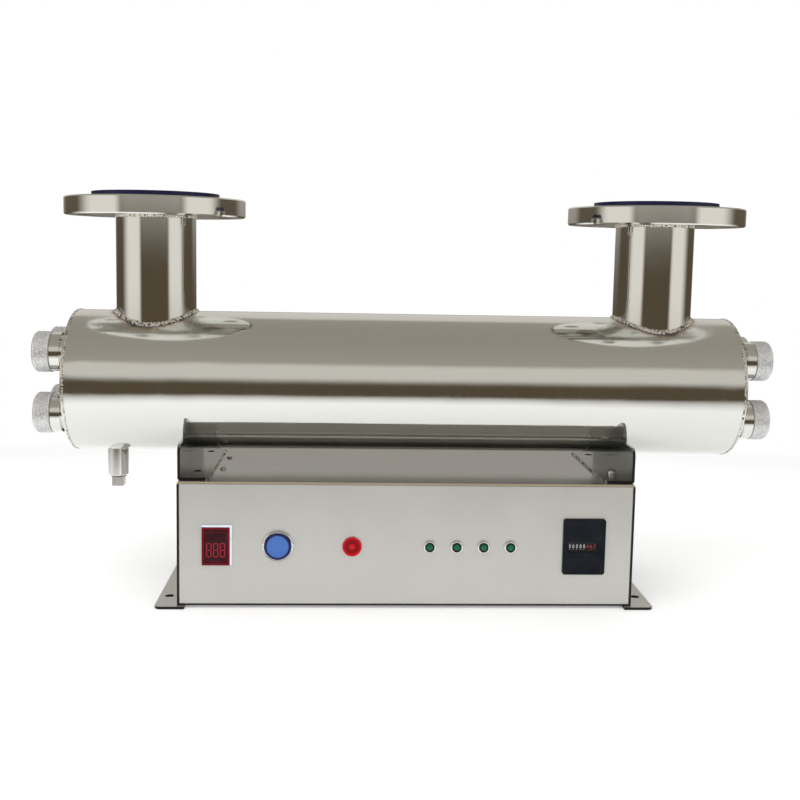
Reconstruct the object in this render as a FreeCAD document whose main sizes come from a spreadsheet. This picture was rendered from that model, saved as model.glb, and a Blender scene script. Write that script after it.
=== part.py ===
import FreeCAD, Part
import os

import Sketcher

# UV clarifier: a stainless water chamber with two flanged ports and four UV lamps in quartz sleeves,
# standing on saddle brackets over a control box.
# Frame: X along the chamber, the control panel faces -Y, +Z up. The origin is on the ground below the
# chamber's middle.

V = FreeCAD.Vector
ALONG_X = FreeCAD.Rotation(V(0, 1, 0), 90)
ALONG_Y = FreeCAD.Rotation(V(1, 0, 0), -90)
FACING_BACK = FreeCAD.Rotation(V(0, 0, 1), 180)
UPRIGHT = FreeCAD.Rotation()

DIMENSIONS = {
    # chamber
    "axis_height": 237,
    "chamber_radius": 79.5,
    "chamber_wall": 2,
    "end_face": 376,
    "end_plate_thickness": 4,
    "end_plate_rounding": 1.5,
    # ports: 3 inch pipe and a PN16 plate flange
    "port_offset": 286,
    "neck_radius": 44.45,
    "neck_wall": 2.6,
    "flange_top": 442.5,
    "flange_radius": 100,
    "flange_thickness": 20,
    "flange_chamfer": 1.5,
    "bolt_circle_radius": 80,
    "bolt_hole_radius": 9,
    "bolt_count": 8,
    "cover_radius": 70.5,
    "cover_height": 7,
    "cover_crown": 1,
    # lamp glands, sleeves and lamps, placed from the chamber's axis and from its outer end face
    "lamp_offset": 34,
    "lamp_count": 4,
    "gland_neck_radius": 18,
    "gland_neck_length": 7,
    "collar_radius": 21.6,
    "collar_length": 10.5,
    "spigot_radius": 17,
    "spigot_length": 8,
    "sleeve_radius": 11.5,
    "sleeve_wall": 1.5,
    "sleeve_clearance": 0.5,
    "seal_section": 3.5,
    "washer_radius": 15.8,
    "washer_thickness": 1.5,
    "nut_radius": 22.7,
    "nut_thread_gap": 0.06,
    "nut_gap": 0.5,
    "nut_reach": 37,
    "nut_end_wall": 6.5,
    "nut_rounding": 4.5,
    "lead_hole_radius": 8,
    "grommet_radius": 7.6,
    "grommet_bore_radius": 3.5,
    "grommet_length": 9,
    "lamp_radius": 7.75,
    "lamp_wall": 0.9,
    "lamp_base_length": 22,
    # drain under the left end
    "drain_offset": 331,
    "drain_radius": 11.5,
    "drain_mouth": 125.5,
    "drain_chamfer": 1.5,
    "thread_radius": 6,
    "thread_gap": 0.06,
    "plug_shank_length": 15,
    "plug_seal_thickness": 1.2,
    "plug_seal_radius": 9,
    "plug_head_width": 13,
    "plug_head_height": 11,
    # control box
    "box_half_length": 249,
    "box_half_depth": 98,
    "box_bottom": 3,
    "box_top": 139.5,
    "sheet": 2,
    "base_sheet": 1.5,
    "base_lip": 18,
    "cover_bend": 3,
    "cover_inner_bend": 0.5,
    "panel_play": 0.2,
    "panel_bevel": 0.8,
    # feet
    "foot_reach": 273,
    "foot_inner": 241,
    "foot_half_depth": 103,
    "foot_thickness": 3,
    "foot_corner": 6,
    "foot_hole_offset": 262,
    "foot_hole_spread": 67,
    "foot_hole_radius": 5,
    # saddle brackets
    "bracket_sheet": 3,
    "bracket_half_depth": 92,
    "bracket_flange": 33,
    "bracket_top": 178,
    "bracket_corner": 9,
    "bracket_bend": 2.5,
    "bracket_hole_radius": 4.5,
    "bracket_hole_inset": 17,
    "bracket_hole_spread": 57,
    # small fasteners on the box
    "earth_shank_radius": 4,
    "earth_head_radius": 5.6,
    "earth_head_height": 5.5,
    "lid_screw_radius": 3.2,
    "lid_screw_offset": 207,
    "lid_screw_spread": 32.5,
    "lid_screw_head": 2.2,
    "lid_screw_shank_radius": 1.5,
    "lid_screw_length": 8,
    # front controls: centres from the box's middle, sizes in the plane of the panel
    "control_height": 69,
    "bezel_proud": 2.5,
    "voltmeter_offset": -207,
    "voltmeter_width": 30,
    "voltmeter_height": 42,
    "voltmeter_rim": 2.4,
    "voltmeter_depth": 22,
    "button_offset": -140.5,
    "button_bezel_radius": 17.5,
    "button_ring_radius": 14.6,
    "button_cap_radius": 12,
    "button_gap": 0.3,
    "button_barrel_radius": 16.2,
    "button_barrel_depth": 24,
    "button_cap_length": 13,
    "switch_width": 24,
    "switch_depth": 22,
    "spring_radius": 6,
    "spring_wire_radius": 0.6,
    "spring_turns": 5,
    "indicator_offset": -60.2,
    "indicator_bezel_radius": 10.5,
    "indicator_lens_radius": 7.8,
    "indicator_barrel_radius": 8.6,
    "indicator_depth": 26,
    "lens_dome": 1.8,
    "status_first": 24.4,
    "status_pitch": 29.5,
    "status_count": 4,
    "status_bezel_radius": 7.6,
    "status_lens_radius": 5.1,
    "status_barrel_radius": 5.9,
    "status_depth": 18,
    "counter_offset": 194,
    "counter_height": 70.1,
    "counter_width": 46.8,
    "counter_tall": 62.3,
    "counter_corner": 3,
    "counter_edge": 0.5,
    "counter_key_width": 6.6,
    "counter_key_right": 6.8,
    "counter_key_low": 4.6,
    "counter_key_depth": 0.6,
    "counter_body_width": 42,
    "counter_body_tall": 52,
    "counter_depth": 34,
    "counter_window_shift": -1.4,
    "counter_window_width": 32,
    "counter_window_tall": 11.6,
    "counter_cavity_tall": 22,
    "counter_cavity_depth": 24,
    "counter_front_wall": 2,
    "counter_glass": 1,
    "wheel_radius": 9.2,
    "wheel_width": 3.6,
    "wheel_pitch": 3.95,
    "wheel_setback": 12.6,
    "wheel_bore_gap": 0.06,
    "axle_radius": 1.5,
    # inside and behind the box
    "ballast_length": 180,
    "ballast_width": 44,
    "ballast_tall": 32,
    "ballast_offset_x": 110,
    "ballast_first_y": 14,
    "ballast_pitch_y": 50,
    "terminal_length": 96,
    "terminal_width": 22,
    "terminal_tall": 20,
    "terminal_y": -32,
    "terminal_poles": 8,
    "terminal_notch": 3,
    "cable_hole_radius": 9,
    "cable_grommet_lip": 3,
    "cable_grommet_proud": 3.5,
    "cable_bore_radius": 5,
    "cable_first": -180,
    "cable_pitch": 180,
    "cable_count": 3,
    "cable_height": 60,
}

doc = FreeCAD.newDocument("UvClarifier")
sheet = doc.addObject("Spreadsheet::Sheet", "Size")
for row, (alias, value) in enumerate(DIMENSIONS.items(), start=1):
    sheet.set(f"A{row}", str(value))
    sheet.setAlias(f"A{row}", alias)
doc.recompute()

subparts = []


def finished(piece, node):
    """Marks an object as a sub-part: its Label is the name of its file."""
    piece.Label = node
    subparts.append(piece)
    return piece


def place(piece, x="0", y="0", z="0", turn=UPRIGHT):
    """Puts the piece's own origin at three expressions of the sheet, after a fixed turn."""
    piece.Placement = FreeCAD.Placement(V(0, 0, 0), turn)
    piece.setExpression(".Placement.Base.x", x)
    piece.setExpression(".Placement.Base.y", y)
    piece.setExpression(".Placement.Base.z", z)
    return piece


# ---- Part primitives and booleans, bound to the sheet


def cylinder(name, radius, length, x="0", y="0", z="0", turn=UPRIGHT):
    piece = doc.addObject("Part::Cylinder", name)
    piece.setExpression("Radius", radius)
    piece.setExpression("Height", length)
    return place(piece, x, y, z, turn)


def block(name, width, depth, tall, x="0", y="0", z="0"):
    """A box from its lowest corner: width along X, depth along Y, tall along Z."""
    piece = doc.addObject("Part::Box", name)
    piece.setExpression("Length", width)
    piece.setExpression("Width", depth)
    piece.setExpression("Height", tall)
    return place(piece, x, y, z)


def joined(name, *pieces):
    fuse = doc.addObject("Part::MultiFuse", name)
    fuse.Shapes = list(pieces)
    return fuse


def less(name, base, *tools):
    """The base with every tool taken away."""
    cut = doc.addObject("Part::Cut", name)
    cut.Base = base
    cut.Tool = tools[0] if len(tools) == 1 else joined(name + "Tools", *tools)
    return cut


def shared(name, *pieces):
    common = doc.addObject("Part::MultiCommon", name)
    common.Shapes = list(pieces)
    return common


def group(name, *pieces):
    """Separate solids kept together in one sub-part."""
    compound = doc.addObject("Part::Compound", name)
    compound.Links = list(pieces)
    return compound


def mirrored(name, source, normal):
    """The source's image across the plane through the origin with this normal."""
    image = doc.addObject("Part::Mirroring", name)
    image.Source = source
    image.Normal = normal
    return image


def ring(name, outer, inner, length, x="0", y="0", z="0", turn=UPRIGHT):
    outside = cylinder(name + "Outside", outer, length, x, y, z, turn)
    inside = cylinder(name + "Inside", inner, length, x, y, z, turn)
    return less(name, outside, inside)


# ---- PartDesign bodies with sketches bound to the sheet


def origin_feature(body, role):
    return next(feature for feature in body.Origin.OriginFeatures if feature.Role == role)


def new_body(name):
    return doc.addObject("PartDesign::Body", name)


def new_sketch(body, plane, name):
    sketch = body.newObject("Sketcher::SketchObject", name)
    sketch.AttachmentSupport = [(origin_feature(body, plane), "")]
    sketch.MapMode = "FlatFace"
    return sketch


def pin_down(sketch, geometry, point, across, up):
    """Fixes one point of a sketch at two expressions of the sheet."""
    for kind, expression in (("DistanceX", across), ("DistanceY", up)):
        constraint = sketch.addConstraint(Sketcher.Constraint(kind, -1, 1, geometry, point, 1.0))
        sketch.setExpression(f"Constraints[{constraint}]", expression)


def outline(sketch, points):
    """A closed outline of straight edges through points given as pairs of expressions."""
    count = len(points)
    spread = Part.makePolygon(list(Part.Circle().discretize(count + 1))).Vertexes
    corners = [vertex.Point * 10 for vertex in spread]
    lines = []
    for index in range(count):
        edge = Part.LineSegment(corners[index], corners[(index + 1) % count])
        lines.append(sketch.addGeometry(edge, False))
    for index in range(count):
        following = lines[(index + 1) % count]
        sketch.addConstraint(Sketcher.Constraint("Coincident", lines[index], 2, following, 1))
    for line, (across, up) in zip(lines, points):
        pin_down(sketch, line, 1, across, up)


def rectangle(sketch, left, low, right, high):
    outline(sketch, [(left, low), (right, low), (right, high), (left, high)])


def round_hole(sketch, radius, across, up):
    circle = sketch.addGeometry(Part.Circle(V(0, 0, 0), V(0, 0, 1), 5), False)
    constraint = sketch.addConstraint(Sketcher.Constraint("Radius", circle, 5))
    sketch.setExpression(f"Constraints[{constraint}]", radius)
    pin_down(sketch, circle, 3, across, up)


def turning_axis(sketch, up):
    """A construction line along the sketch's first axis, at a height given by an expression."""
    line = sketch.addGeometry(Part.LineSegment(V(0, 5, 0), V(10, 5, 0)), True)
    sketch.addConstraint(Sketcher.Constraint("Horizontal", line))
    sketch.addConstraint(Sketcher.Constraint("DistanceX", line, 1, line, 2, 10.0))
    pin_down(sketch, line, 1, "0", up)


def pad(body, sketch, length):
    doc.recompute()
    feature = body.newObject("PartDesign::Pad", "Pad")
    feature.Profile = sketch
    feature.setExpression("Length", length)
    doc.recompute()
    return feature


def pocket_through(body, sketch):
    doc.recompute()
    before = body.Shape.Volume
    feature = body.newObject("PartDesign::Pocket", "Pocket")
    feature.Profile = sketch
    feature.Type = "ThroughAll"
    feature.SideType = "Symmetric"
    doc.recompute()
    if body.Shape.Volume >= before:
        raise RuntimeError(f"{body.Label}: the pocket cuts nothing")
    return feature


def revolve(body, sketch, axis="H_Axis"):
    """Turns a sketch about its own first axis, its second axis or its construction line."""
    doc.recompute()
    feature = body.newObject("PartDesign::Revolution", "Turning")
    feature.Profile = sketch
    feature.ReferenceAxis = (sketch, [axis])
    feature.Angle = 360
    doc.recompute()
    return feature


def polar(body, feature, axis, count):
    pattern = body.newObject("PartDesign::PolarPattern", "RoundPattern")
    pattern.Originals = [feature]
    pattern.Axis = (origin_feature(body, axis), [""])
    pattern.Angle = 360
    pattern.setExpression("Occurrences", count)
    body.Tip = pattern
    doc.recompute()
    return pattern


def dress(body, kind, base, size, wanted):
    """Fillets or chamfers the base feature's edges that pass the wanted test."""
    names = [f"Edge{index}" for index, edge in enumerate(base.Shape.Edges, start=1) if wanted(edge)]
    feature = body.newObject("PartDesign::" + kind, kind)
    feature.Base = (base, names)
    feature.setExpression("Radius" if kind == "Fillet" else "Size", size)
    doc.recompute()
    return feature


def size_of(alias):
    """The value of one cell, for tests that look an edge up by where it is."""
    return float(sheet.get(alias))


def near(one, other):
    return abs(one - other) < 1e-4


def is_vertical(edge):
    return near(edge.BoundBox.ZLength, edge.Length)


def runs_along_y(edge):
    return near(edge.BoundBox.YLength, edge.Length)


# ---- chamber


def chamber_tube():
    length = "2 * (Size.end_face - Size.end_plate_thickness)"
    start = "Size.end_plate_thickness - Size.end_face"
    inner = "Size.chamber_radius - Size.chamber_wall"
    shell = ring("ChamberShell", "Size.chamber_radius", inner, length, start, "0", "Size.axis_height",
                 ALONG_X)
    bore = "Size.neck_radius - Size.neck_wall"
    drills = [
        cylinder("PortHoleLeft", bore, "Size.chamber_radius", "-Size.port_offset", "0", "Size.axis_height"),
        cylinder("PortHoleRight", bore, "Size.chamber_radius", "Size.port_offset", "0", "Size.axis_height"),
        cylinder("DrainHole", "Size.thread_radius", "Size.chamber_radius", "-Size.drain_offset", "0",
                 "Size.axis_height - Size.chamber_radius"),
    ]
    finished(less("Chamber", shell, *drills), "chamber_tube")


def end_plates():
    """A drilled disc closes each end; the outer rim is rounded over."""
    for node, side in (("end_plate_left", -1), ("end_plate_right", 1)):
        body = new_body("EndPlate")
        disc = new_sketch(body, "YZ_Plane", "Disc")
        round_hole(disc, "Size.chamber_radius", "0", "0")
        plate = pad(body, disc, "Size.end_plate_thickness")
        outer = size_of("end_plate_thickness")
        plate = dress(body, "Fillet", plate, "Size.end_plate_rounding",
                      lambda edge: near(edge.BoundBox.XMin, outer) and near(edge.BoundBox.XMax, outer))
        drill = new_sketch(body, "YZ_Plane", "SleeveHole")
        round_hole(drill, "Size.sleeve_radius + Size.sleeve_clearance", "Size.lamp_offset",
                   "Size.lamp_offset")
        polar(body, pocket_through(body, drill), "X_Axis", "Size.lamp_count")
        face = f"{side} * (Size.end_face - Size.end_plate_thickness)"
        place(body, face, "0", "Size.axis_height", FACING_BACK if side < 0 else UPRIGHT)
        finished(body, node)


# ---- ports


def port_necks():
    """A pipe stub whose foot is cut to sit on the chamber, up to the underside of its flange."""
    for node, side in (("port_neck_left", -1), ("port_neck_right", 1)):
        across = f"{side} * Size.port_offset"
        tall = "Size.flange_top - Size.flange_thickness - Size.axis_height"
        inner = "Size.neck_radius - Size.neck_wall"
        stub = ring("NeckPipe", "Size.neck_radius", inner, tall, across, "0", "Size.axis_height")
        saddle = cylinder("NeckSaddle", "Size.chamber_radius", "4 * Size.neck_radius",
                          f"{across} - 2 * Size.neck_radius", "0", "Size.axis_height", ALONG_X)
        finished(less("Neck", stub, saddle), node)


def port_flanges():
    """A drilled plate flange; its bolt holes straddle the centre lines."""
    for node, side in (("port_flange_left", -1), ("port_flange_right", 1)):
        body = new_body("Flange")
        disc = new_sketch(body, "XY_Plane", "Disc")
        round_hole(disc, "Size.flange_radius", "0", "0")
        round_hole(disc, "Size.neck_radius - Size.neck_wall", "0", "0")
        plate = pad(body, disc, "Size.flange_thickness")
        rim = size_of("flange_radius")
        dress(body, "Chamfer", plate, "Size.flange_chamfer",
              lambda edge: near(edge.BoundBox.XLength, 2 * rim) and near(edge.BoundBox.ZLength, 0))
        drill = new_sketch(body, "XY_Plane", "BoltHole")
        straddle = "180deg / Size.bolt_count"
        round_hole(drill, "Size.bolt_hole_radius", f"Size.bolt_circle_radius * cos({straddle})",
                   f"Size.bolt_circle_radius * sin({straddle})")
        polar(body, pocket_through(body, drill), "Z_Axis", "Size.bolt_count")
        place(body, f"{side} * Size.port_offset", "0", "Size.flange_top - Size.flange_thickness")
        finished(body, node)


def flange_covers():
    """A thin protective disc, slightly crowned, lies on each flange inside the bolt circle."""
    for node, side in (("flange_cover_left", -1), ("flange_cover_right", 1)):
        across = f"{side} * Size.port_offset"
        disc = cylinder("CoverDisc", "Size.cover_radius", "Size.cover_height", across, "0", "Size.flange_top")
        dome = doc.addObject("Part::Sphere", "CoverDome")
        crown = "(Size.cover_radius ^ 2 + Size.cover_crown ^ 2) / (2 * Size.cover_crown)"
        dome.setExpression("Radius", crown)
        place(dome, across, "0", f"Size.flange_top + Size.cover_height - {crown}")
        finished(shared("Cover", disc, dome), node)


# ---- lamp glands, sleeves and lamps

COLLAR_START = "Size.gland_neck_length"
COLLAR_END = "(Size.gland_neck_length + Size.collar_length)"
SPIGOT_END = f"({COLLAR_END} + Size.spigot_length)"
SEAL_END = f"({SPIGOT_END} + Size.seal_section)"
WASHER_END = f"({SEAL_END} + Size.washer_thickness)"
SLEEVE_BORE = "(Size.sleeve_radius + Size.sleeve_clearance)"
SLEEVE_END = f"(Size.end_face + {WASHER_END} - 0.2)"
LAMP_END = "(Size.end_face + Size.nut_reach - Size.grommet_length)"


def both_ends(name, right_set):
    """The right-hand pieces and their image at the left end, as one sub-part."""
    finished(group(name, right_set, mirrored(name + "Left", right_set, V(1, 0, 0))), name)


def gland_profile():
    """Neck, polished collar and threaded spigot, bored for the sleeve."""
    return [
        ("0", SLEEVE_BORE),
        (SPIGOT_END, SLEEVE_BORE),
        (SPIGOT_END, "Size.spigot_radius"),
        (COLLAR_END, "Size.spigot_radius"),
        (COLLAR_END, "Size.collar_radius"),
        (COLLAR_START, "Size.collar_radius"),
        (COLLAR_START, "Size.gland_neck_radius"),
        ("0", "Size.gland_neck_radius"),
    ]


def lamp_set(name, profile, start="Size.end_face"):
    """Four turned pieces in a square about the chamber's axis, starting at an end face."""
    body = new_body(name)
    sketch = new_sketch(body, "XZ_Plane", "Profile")
    diagonal = "Size.lamp_offset * sqrt(2)"
    outline(sketch, [(along, f"{diagonal} + {radius}") for along, radius in profile])
    turning_axis(sketch, diagonal)
    polar(body, revolve(body, sketch, "Axis0"), "X_Axis", "Size.lamp_count")
    place(body, start, "0", "Size.axis_height", FreeCAD.Rotation(V(1, 0, 0), 45))
    return body


def tube_profile(length, outer, inner):
    return [("0", inner), (length, inner), (length, outer), ("0", outer)]


def gland_sockets():
    right = finished(lamp_set("GlandSockets", gland_profile()), "gland_sockets_right")
    finished(mirrored("GlandSocketsLeft", right, V(1, 0, 0)), "gland_sockets_left")


def sleeves_and_lamps():
    sleeve_bore = "(Size.sleeve_radius - Size.sleeve_wall)"
    sleeve = tube_profile(f"2 * {SLEEVE_END}", "Size.sleeve_radius", sleeve_bore)
    finished(lamp_set("Sleeves", sleeve, f"-{SLEEVE_END}"), "quartz_sleeves")
    glass_end = f"({LAMP_END} - Size.lamp_base_length)"
    glass = tube_profile(f"2 * {glass_end}", "Size.lamp_radius", "(Size.lamp_radius - Size.lamp_wall)")
    finished(lamp_set("Lamps", glass, f"-{glass_end}"), "uv_lamps")
    base = tube_profile("Size.lamp_base_length", sleeve_bore, "Size.grommet_bore_radius")
    both_ends("lamp_bases", lamp_set("LampBases", base, glass_end))


def seals():
    """At each gland an O-ring round the sleeve, a washer behind it and a grommet in the nut's mouth."""
    torus = doc.addObject("Part::Torus", "SealRing")
    torus.setExpression("Radius1", "Size.sleeve_radius + Size.seal_section / 2 + 0.02")
    torus.setExpression("Radius2", "Size.seal_section / 2")
    middle = f"Size.end_face + {SPIGOT_END} + Size.seal_section / 2"
    rings = []
    for row in (-1, 1):
        for column in (-1, 1):
            copy = doc.addObject("Part::Compound", "Seal")
            copy.Links = [torus]
            place(copy, middle, f"{column} * Size.lamp_offset",
                  f"Size.axis_height + {row} * Size.lamp_offset", ALONG_X)
            rings.append(copy)
    both_ends("sleeve_o_rings", group("SealSet", *rings))
    washer = tube_profile("Size.washer_thickness", "Size.washer_radius", SLEEVE_BORE)
    both_ends("sleeve_washers", lamp_set("Washers", washer, f"Size.end_face + {SEAL_END}"))
    grommet = tube_profile("(Size.grommet_length - 1)", "Size.grommet_radius", "Size.grommet_bore_radius")
    both_ends("lead_grommets", lamp_set("LeadGrommets", grommet, LAMP_END))


def lamp_nuts():
    """Eight knurled nuts, one body each because each turns on its own spigot."""
    start = f"({COLLAR_END} + Size.nut_gap)"
    thread = "Size.spigot_radius + Size.nut_thread_gap"
    inner_face = "(Size.nut_reach - Size.nut_end_wall)"
    for end, side in (("left", -1), ("right", 1)):
        places = [(column, row) for row in (1, -1) for column in (-1, 1)]
        for number, (column, row) in enumerate(places, start=1):
            body = new_body("LampNut")
            sketch = new_sketch(body, "XZ_Plane", "Profile")
            outline(sketch, [
                (start, thread),
                (inner_face, thread),
                (inner_face, "Size.lead_hole_radius"),
                ("Size.nut_reach", "Size.lead_hole_radius"),
                ("Size.nut_reach", "Size.nut_radius"),
                (start, "Size.nut_radius"),
            ])
            turned = revolve(body, sketch)
            rim = size_of("nut_radius")
            face = size_of("nut_reach")
            dress(body, "Fillet", turned, "Size.nut_rounding",
                  lambda edge: near(edge.BoundBox.XMin, face) and near(edge.BoundBox.YLength, 2 * rim))
            place(body, f"{side} * Size.end_face", f"{column} * Size.lamp_offset",
                  f"Size.axis_height + {row} * Size.lamp_offset", FACING_BACK if side < 0 else UPRIGHT)
            finished(body, f"lamp_nut_{end}_{number}")


# ---- drain


def drain():
    """A threaded socket welded under the chamber, closed by a square-head plug with a flat seal."""
    body = new_body("DrainSocket")
    sketch = new_sketch(body, "XZ_Plane", "Profile")
    outline(sketch, [
        ("Size.thread_radius", "Size.drain_mouth"),
        ("Size.drain_radius - Size.drain_chamfer", "Size.drain_mouth"),
        ("Size.drain_radius", "Size.drain_mouth + Size.drain_chamfer"),
        ("Size.drain_radius", "Size.axis_height"),
        ("Size.thread_radius", "Size.axis_height"),
    ])
    revolve(body, sketch, "V_Axis")
    place(body, "-Size.drain_offset")
    saddle = cylinder("DrainSaddle", "Size.chamber_radius", "4 * Size.drain_radius",
                      "-Size.drain_offset - 2 * Size.drain_radius", "0", "Size.axis_height", ALONG_X)
    finished(less("DrainFitted", body, saddle), "drain_socket")

    seal_low = "Size.drain_mouth - Size.plug_seal_thickness"
    shank_radius = "Size.thread_radius - Size.thread_gap"
    shank = cylinder("PlugShank", shank_radius, "Size.plug_shank_length + Size.plug_seal_thickness",
                     "-Size.drain_offset", "0", seal_low)
    head = block("PlugHead", "Size.plug_head_width", "Size.plug_head_width", "Size.plug_head_height",
                 "-Size.drain_offset - Size.plug_head_width / 2", "-Size.plug_head_width / 2",
                 f"{seal_low} - Size.plug_head_height")
    finished(joined("Plug", shank, head), "drain_plug")
    seal = ring("PlugSeal", "Size.plug_seal_radius", "Size.thread_radius", "Size.plug_seal_thickness",
                "-Size.drain_offset", "0", seal_low)
    finished(seal, "drain_seal")


# ---- control box


def box_base():
    """A shallow tray: the floor with a lip along the front and the back."""
    body = new_body("BoxBase")
    sketch = new_sketch(body, "YZ_Plane", "Section")
    edge = "Size.box_half_depth"
    lip = "(Size.box_half_depth - Size.sheet)"
    lip_inside = f"({lip} - Size.base_sheet)"
    floor_top = "Size.box_bottom + Size.base_sheet"
    lip_top = "Size.box_bottom + Size.base_lip"
    outline(sketch, [
        (f"-{edge}", "Size.box_bottom"),
        (edge, "Size.box_bottom"),
        (edge, floor_top),
        (lip, floor_top),
        (lip, lip_top),
        (lip_inside, lip_top),
        (lip_inside, floor_top),
        (f"-{lip_inside}", floor_top),
        (f"-{lip_inside}", lip_top),
        (f"-{lip}", lip_top),
        (f"-{lip}", floor_top),
        (f"-{edge}", floor_top),
    ])
    half = "(Size.box_half_length - Size.sheet)"
    pad(body, sketch, f"2 * {half}")
    place(body, f"-{half}")
    finished(body, "box_base")


def box_cover():
    """One sheet bent over the top and both sides, with holes for the lid screws and the earth bolt."""
    body = new_body("BoxCover")
    sketch = new_sketch(body, "XZ_Plane", "Section")
    side = "Size.box_half_length"
    inside = "(Size.box_half_length - Size.sheet)"
    ceiling = "Size.box_top - Size.sheet"
    outline(sketch, [
        (f"-{side}", "Size.box_bottom"),
        (f"-{inside}", "Size.box_bottom"),
        (f"-{inside}", ceiling),
        (inside, ceiling),
        (inside, "Size.box_bottom"),
        (side, "Size.box_bottom"),
        (side, "Size.box_top"),
        (f"-{side}", "Size.box_top"),
    ])
    shell = pad(body, sketch, "2 * Size.box_half_depth")
    top = size_of("box_top")
    sheet_metal = size_of("sheet")
    shell = dress(body, "Fillet", shell, "Size.cover_bend",
                  lambda edge: runs_along_y(edge) and near(edge.BoundBox.ZMin, top))
    dress(body, "Fillet", shell, "Size.cover_inner_bend",
          lambda edge: runs_along_y(edge) and near(edge.BoundBox.ZMin, top - sheet_metal))
    drill = new_sketch(body, "XY_Plane", "Drilling")
    middle = "Size.box_half_depth"
    for spread in ("-Size.lid_screw_spread", "Size.lid_screw_spread"):
        round_hole(drill, "Size.lid_screw_shank_radius", "-Size.lid_screw_offset", f"{spread} - {middle}")
    round_hole(drill, "Size.earth_shank_radius", "Size.box_half_length - Size.bracket_hole_inset",
               f"-Size.bracket_hole_spread - {middle}")
    pocket_through(body, drill)
    place(body, "0", "Size.box_half_depth")
    finished(body, "box_cover")


def panel(name, openings):
    """A plate that closes the front or back, bevelled along its outer face's edges."""
    body = new_body(name)
    sketch = new_sketch(body, "XZ_Plane", "Plate")
    half = "(Size.box_half_length - Size.sheet - Size.panel_play)"
    low = "Size.box_bottom + Size.base_sheet"
    high = "Size.box_top - Size.sheet - Size.panel_play"
    rectangle(sketch, f"-{half}", low, half, high)
    plate = pad(body, sketch, "Size.sheet")
    outer = -size_of("sheet")
    dress(body, "Chamfer", plate, "Size.panel_bevel",
          lambda edge: near(edge.BoundBox.YMin, outer) and near(edge.BoundBox.YMax, outer))
    cutouts = new_sketch(body, "XZ_Plane", "Openings")
    openings(cutouts)
    pocket_through(body, cutouts)
    return body


def slot_in_panel(sketch, middle, width, height_middle, tall):
    rectangle(sketch, f"{middle} - {width} / 2", f"{height_middle} - {tall} / 2",
              f"{middle} + {width} / 2", f"{height_middle} + {tall} / 2")


def front_openings(sketch):
    slot_in_panel(sketch, "Size.voltmeter_offset", "(Size.voltmeter_width - 2 * Size.voltmeter_rim)",
                  "Size.control_height", "(Size.voltmeter_height - 2 * Size.voltmeter_rim)")
    slot_in_panel(sketch, "Size.counter_offset", "Size.counter_body_width", "Size.counter_height",
                  "Size.counter_body_tall")
    round_hole(sketch, "Size.button_barrel_radius", "Size.button_offset", "Size.control_height")
    round_hole(sketch, "Size.indicator_barrel_radius", "Size.indicator_offset", "Size.control_height")
    for index in range(int(size_of("status_count"))):
        round_hole(sketch, "Size.status_barrel_radius", f"Size.status_first + {index} * Size.status_pitch",
                   "Size.control_height")


def back_openings(sketch):
    for index in range(int(size_of("cable_count"))):
        round_hole(sketch, "Size.cable_hole_radius", f"Size.cable_first + {index} * Size.cable_pitch",
                   "Size.cable_height")


def panels():
    front = panel("FrontPanel", front_openings)
    place(front, "0", "Size.sheet - Size.box_half_depth")
    finished(front, "front_panel")
    back = panel("BackPanel", back_openings)
    place(back, "0", "Size.box_half_depth - Size.sheet", "0", FACING_BACK)
    finished(back, "back_panel")


def feet():
    """A drilled strip under each end of the box, standing out at the side."""
    body = new_body("Foot")
    sketch = new_sketch(body, "XY_Plane", "Strip")
    rectangle(sketch, "Size.foot_inner", "-Size.foot_half_depth", "Size.foot_reach", "Size.foot_half_depth")
    strip = pad(body, sketch, "Size.foot_thickness")
    reach = size_of("foot_reach")
    dress(body, "Fillet", strip, "Size.foot_corner",
          lambda edge: is_vertical(edge) and near(edge.BoundBox.XMin, reach))
    drill = new_sketch(body, "XY_Plane", "Holes")
    for spread in ("-Size.foot_hole_spread", "Size.foot_hole_spread"):
        round_hole(drill, "Size.foot_hole_radius", "Size.foot_hole_offset", spread)
    pocket_through(body, drill)
    finished(body, "foot_right")
    finished(mirrored("FootLeft", body, V(1, 0, 0)), "foot_left")


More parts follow.
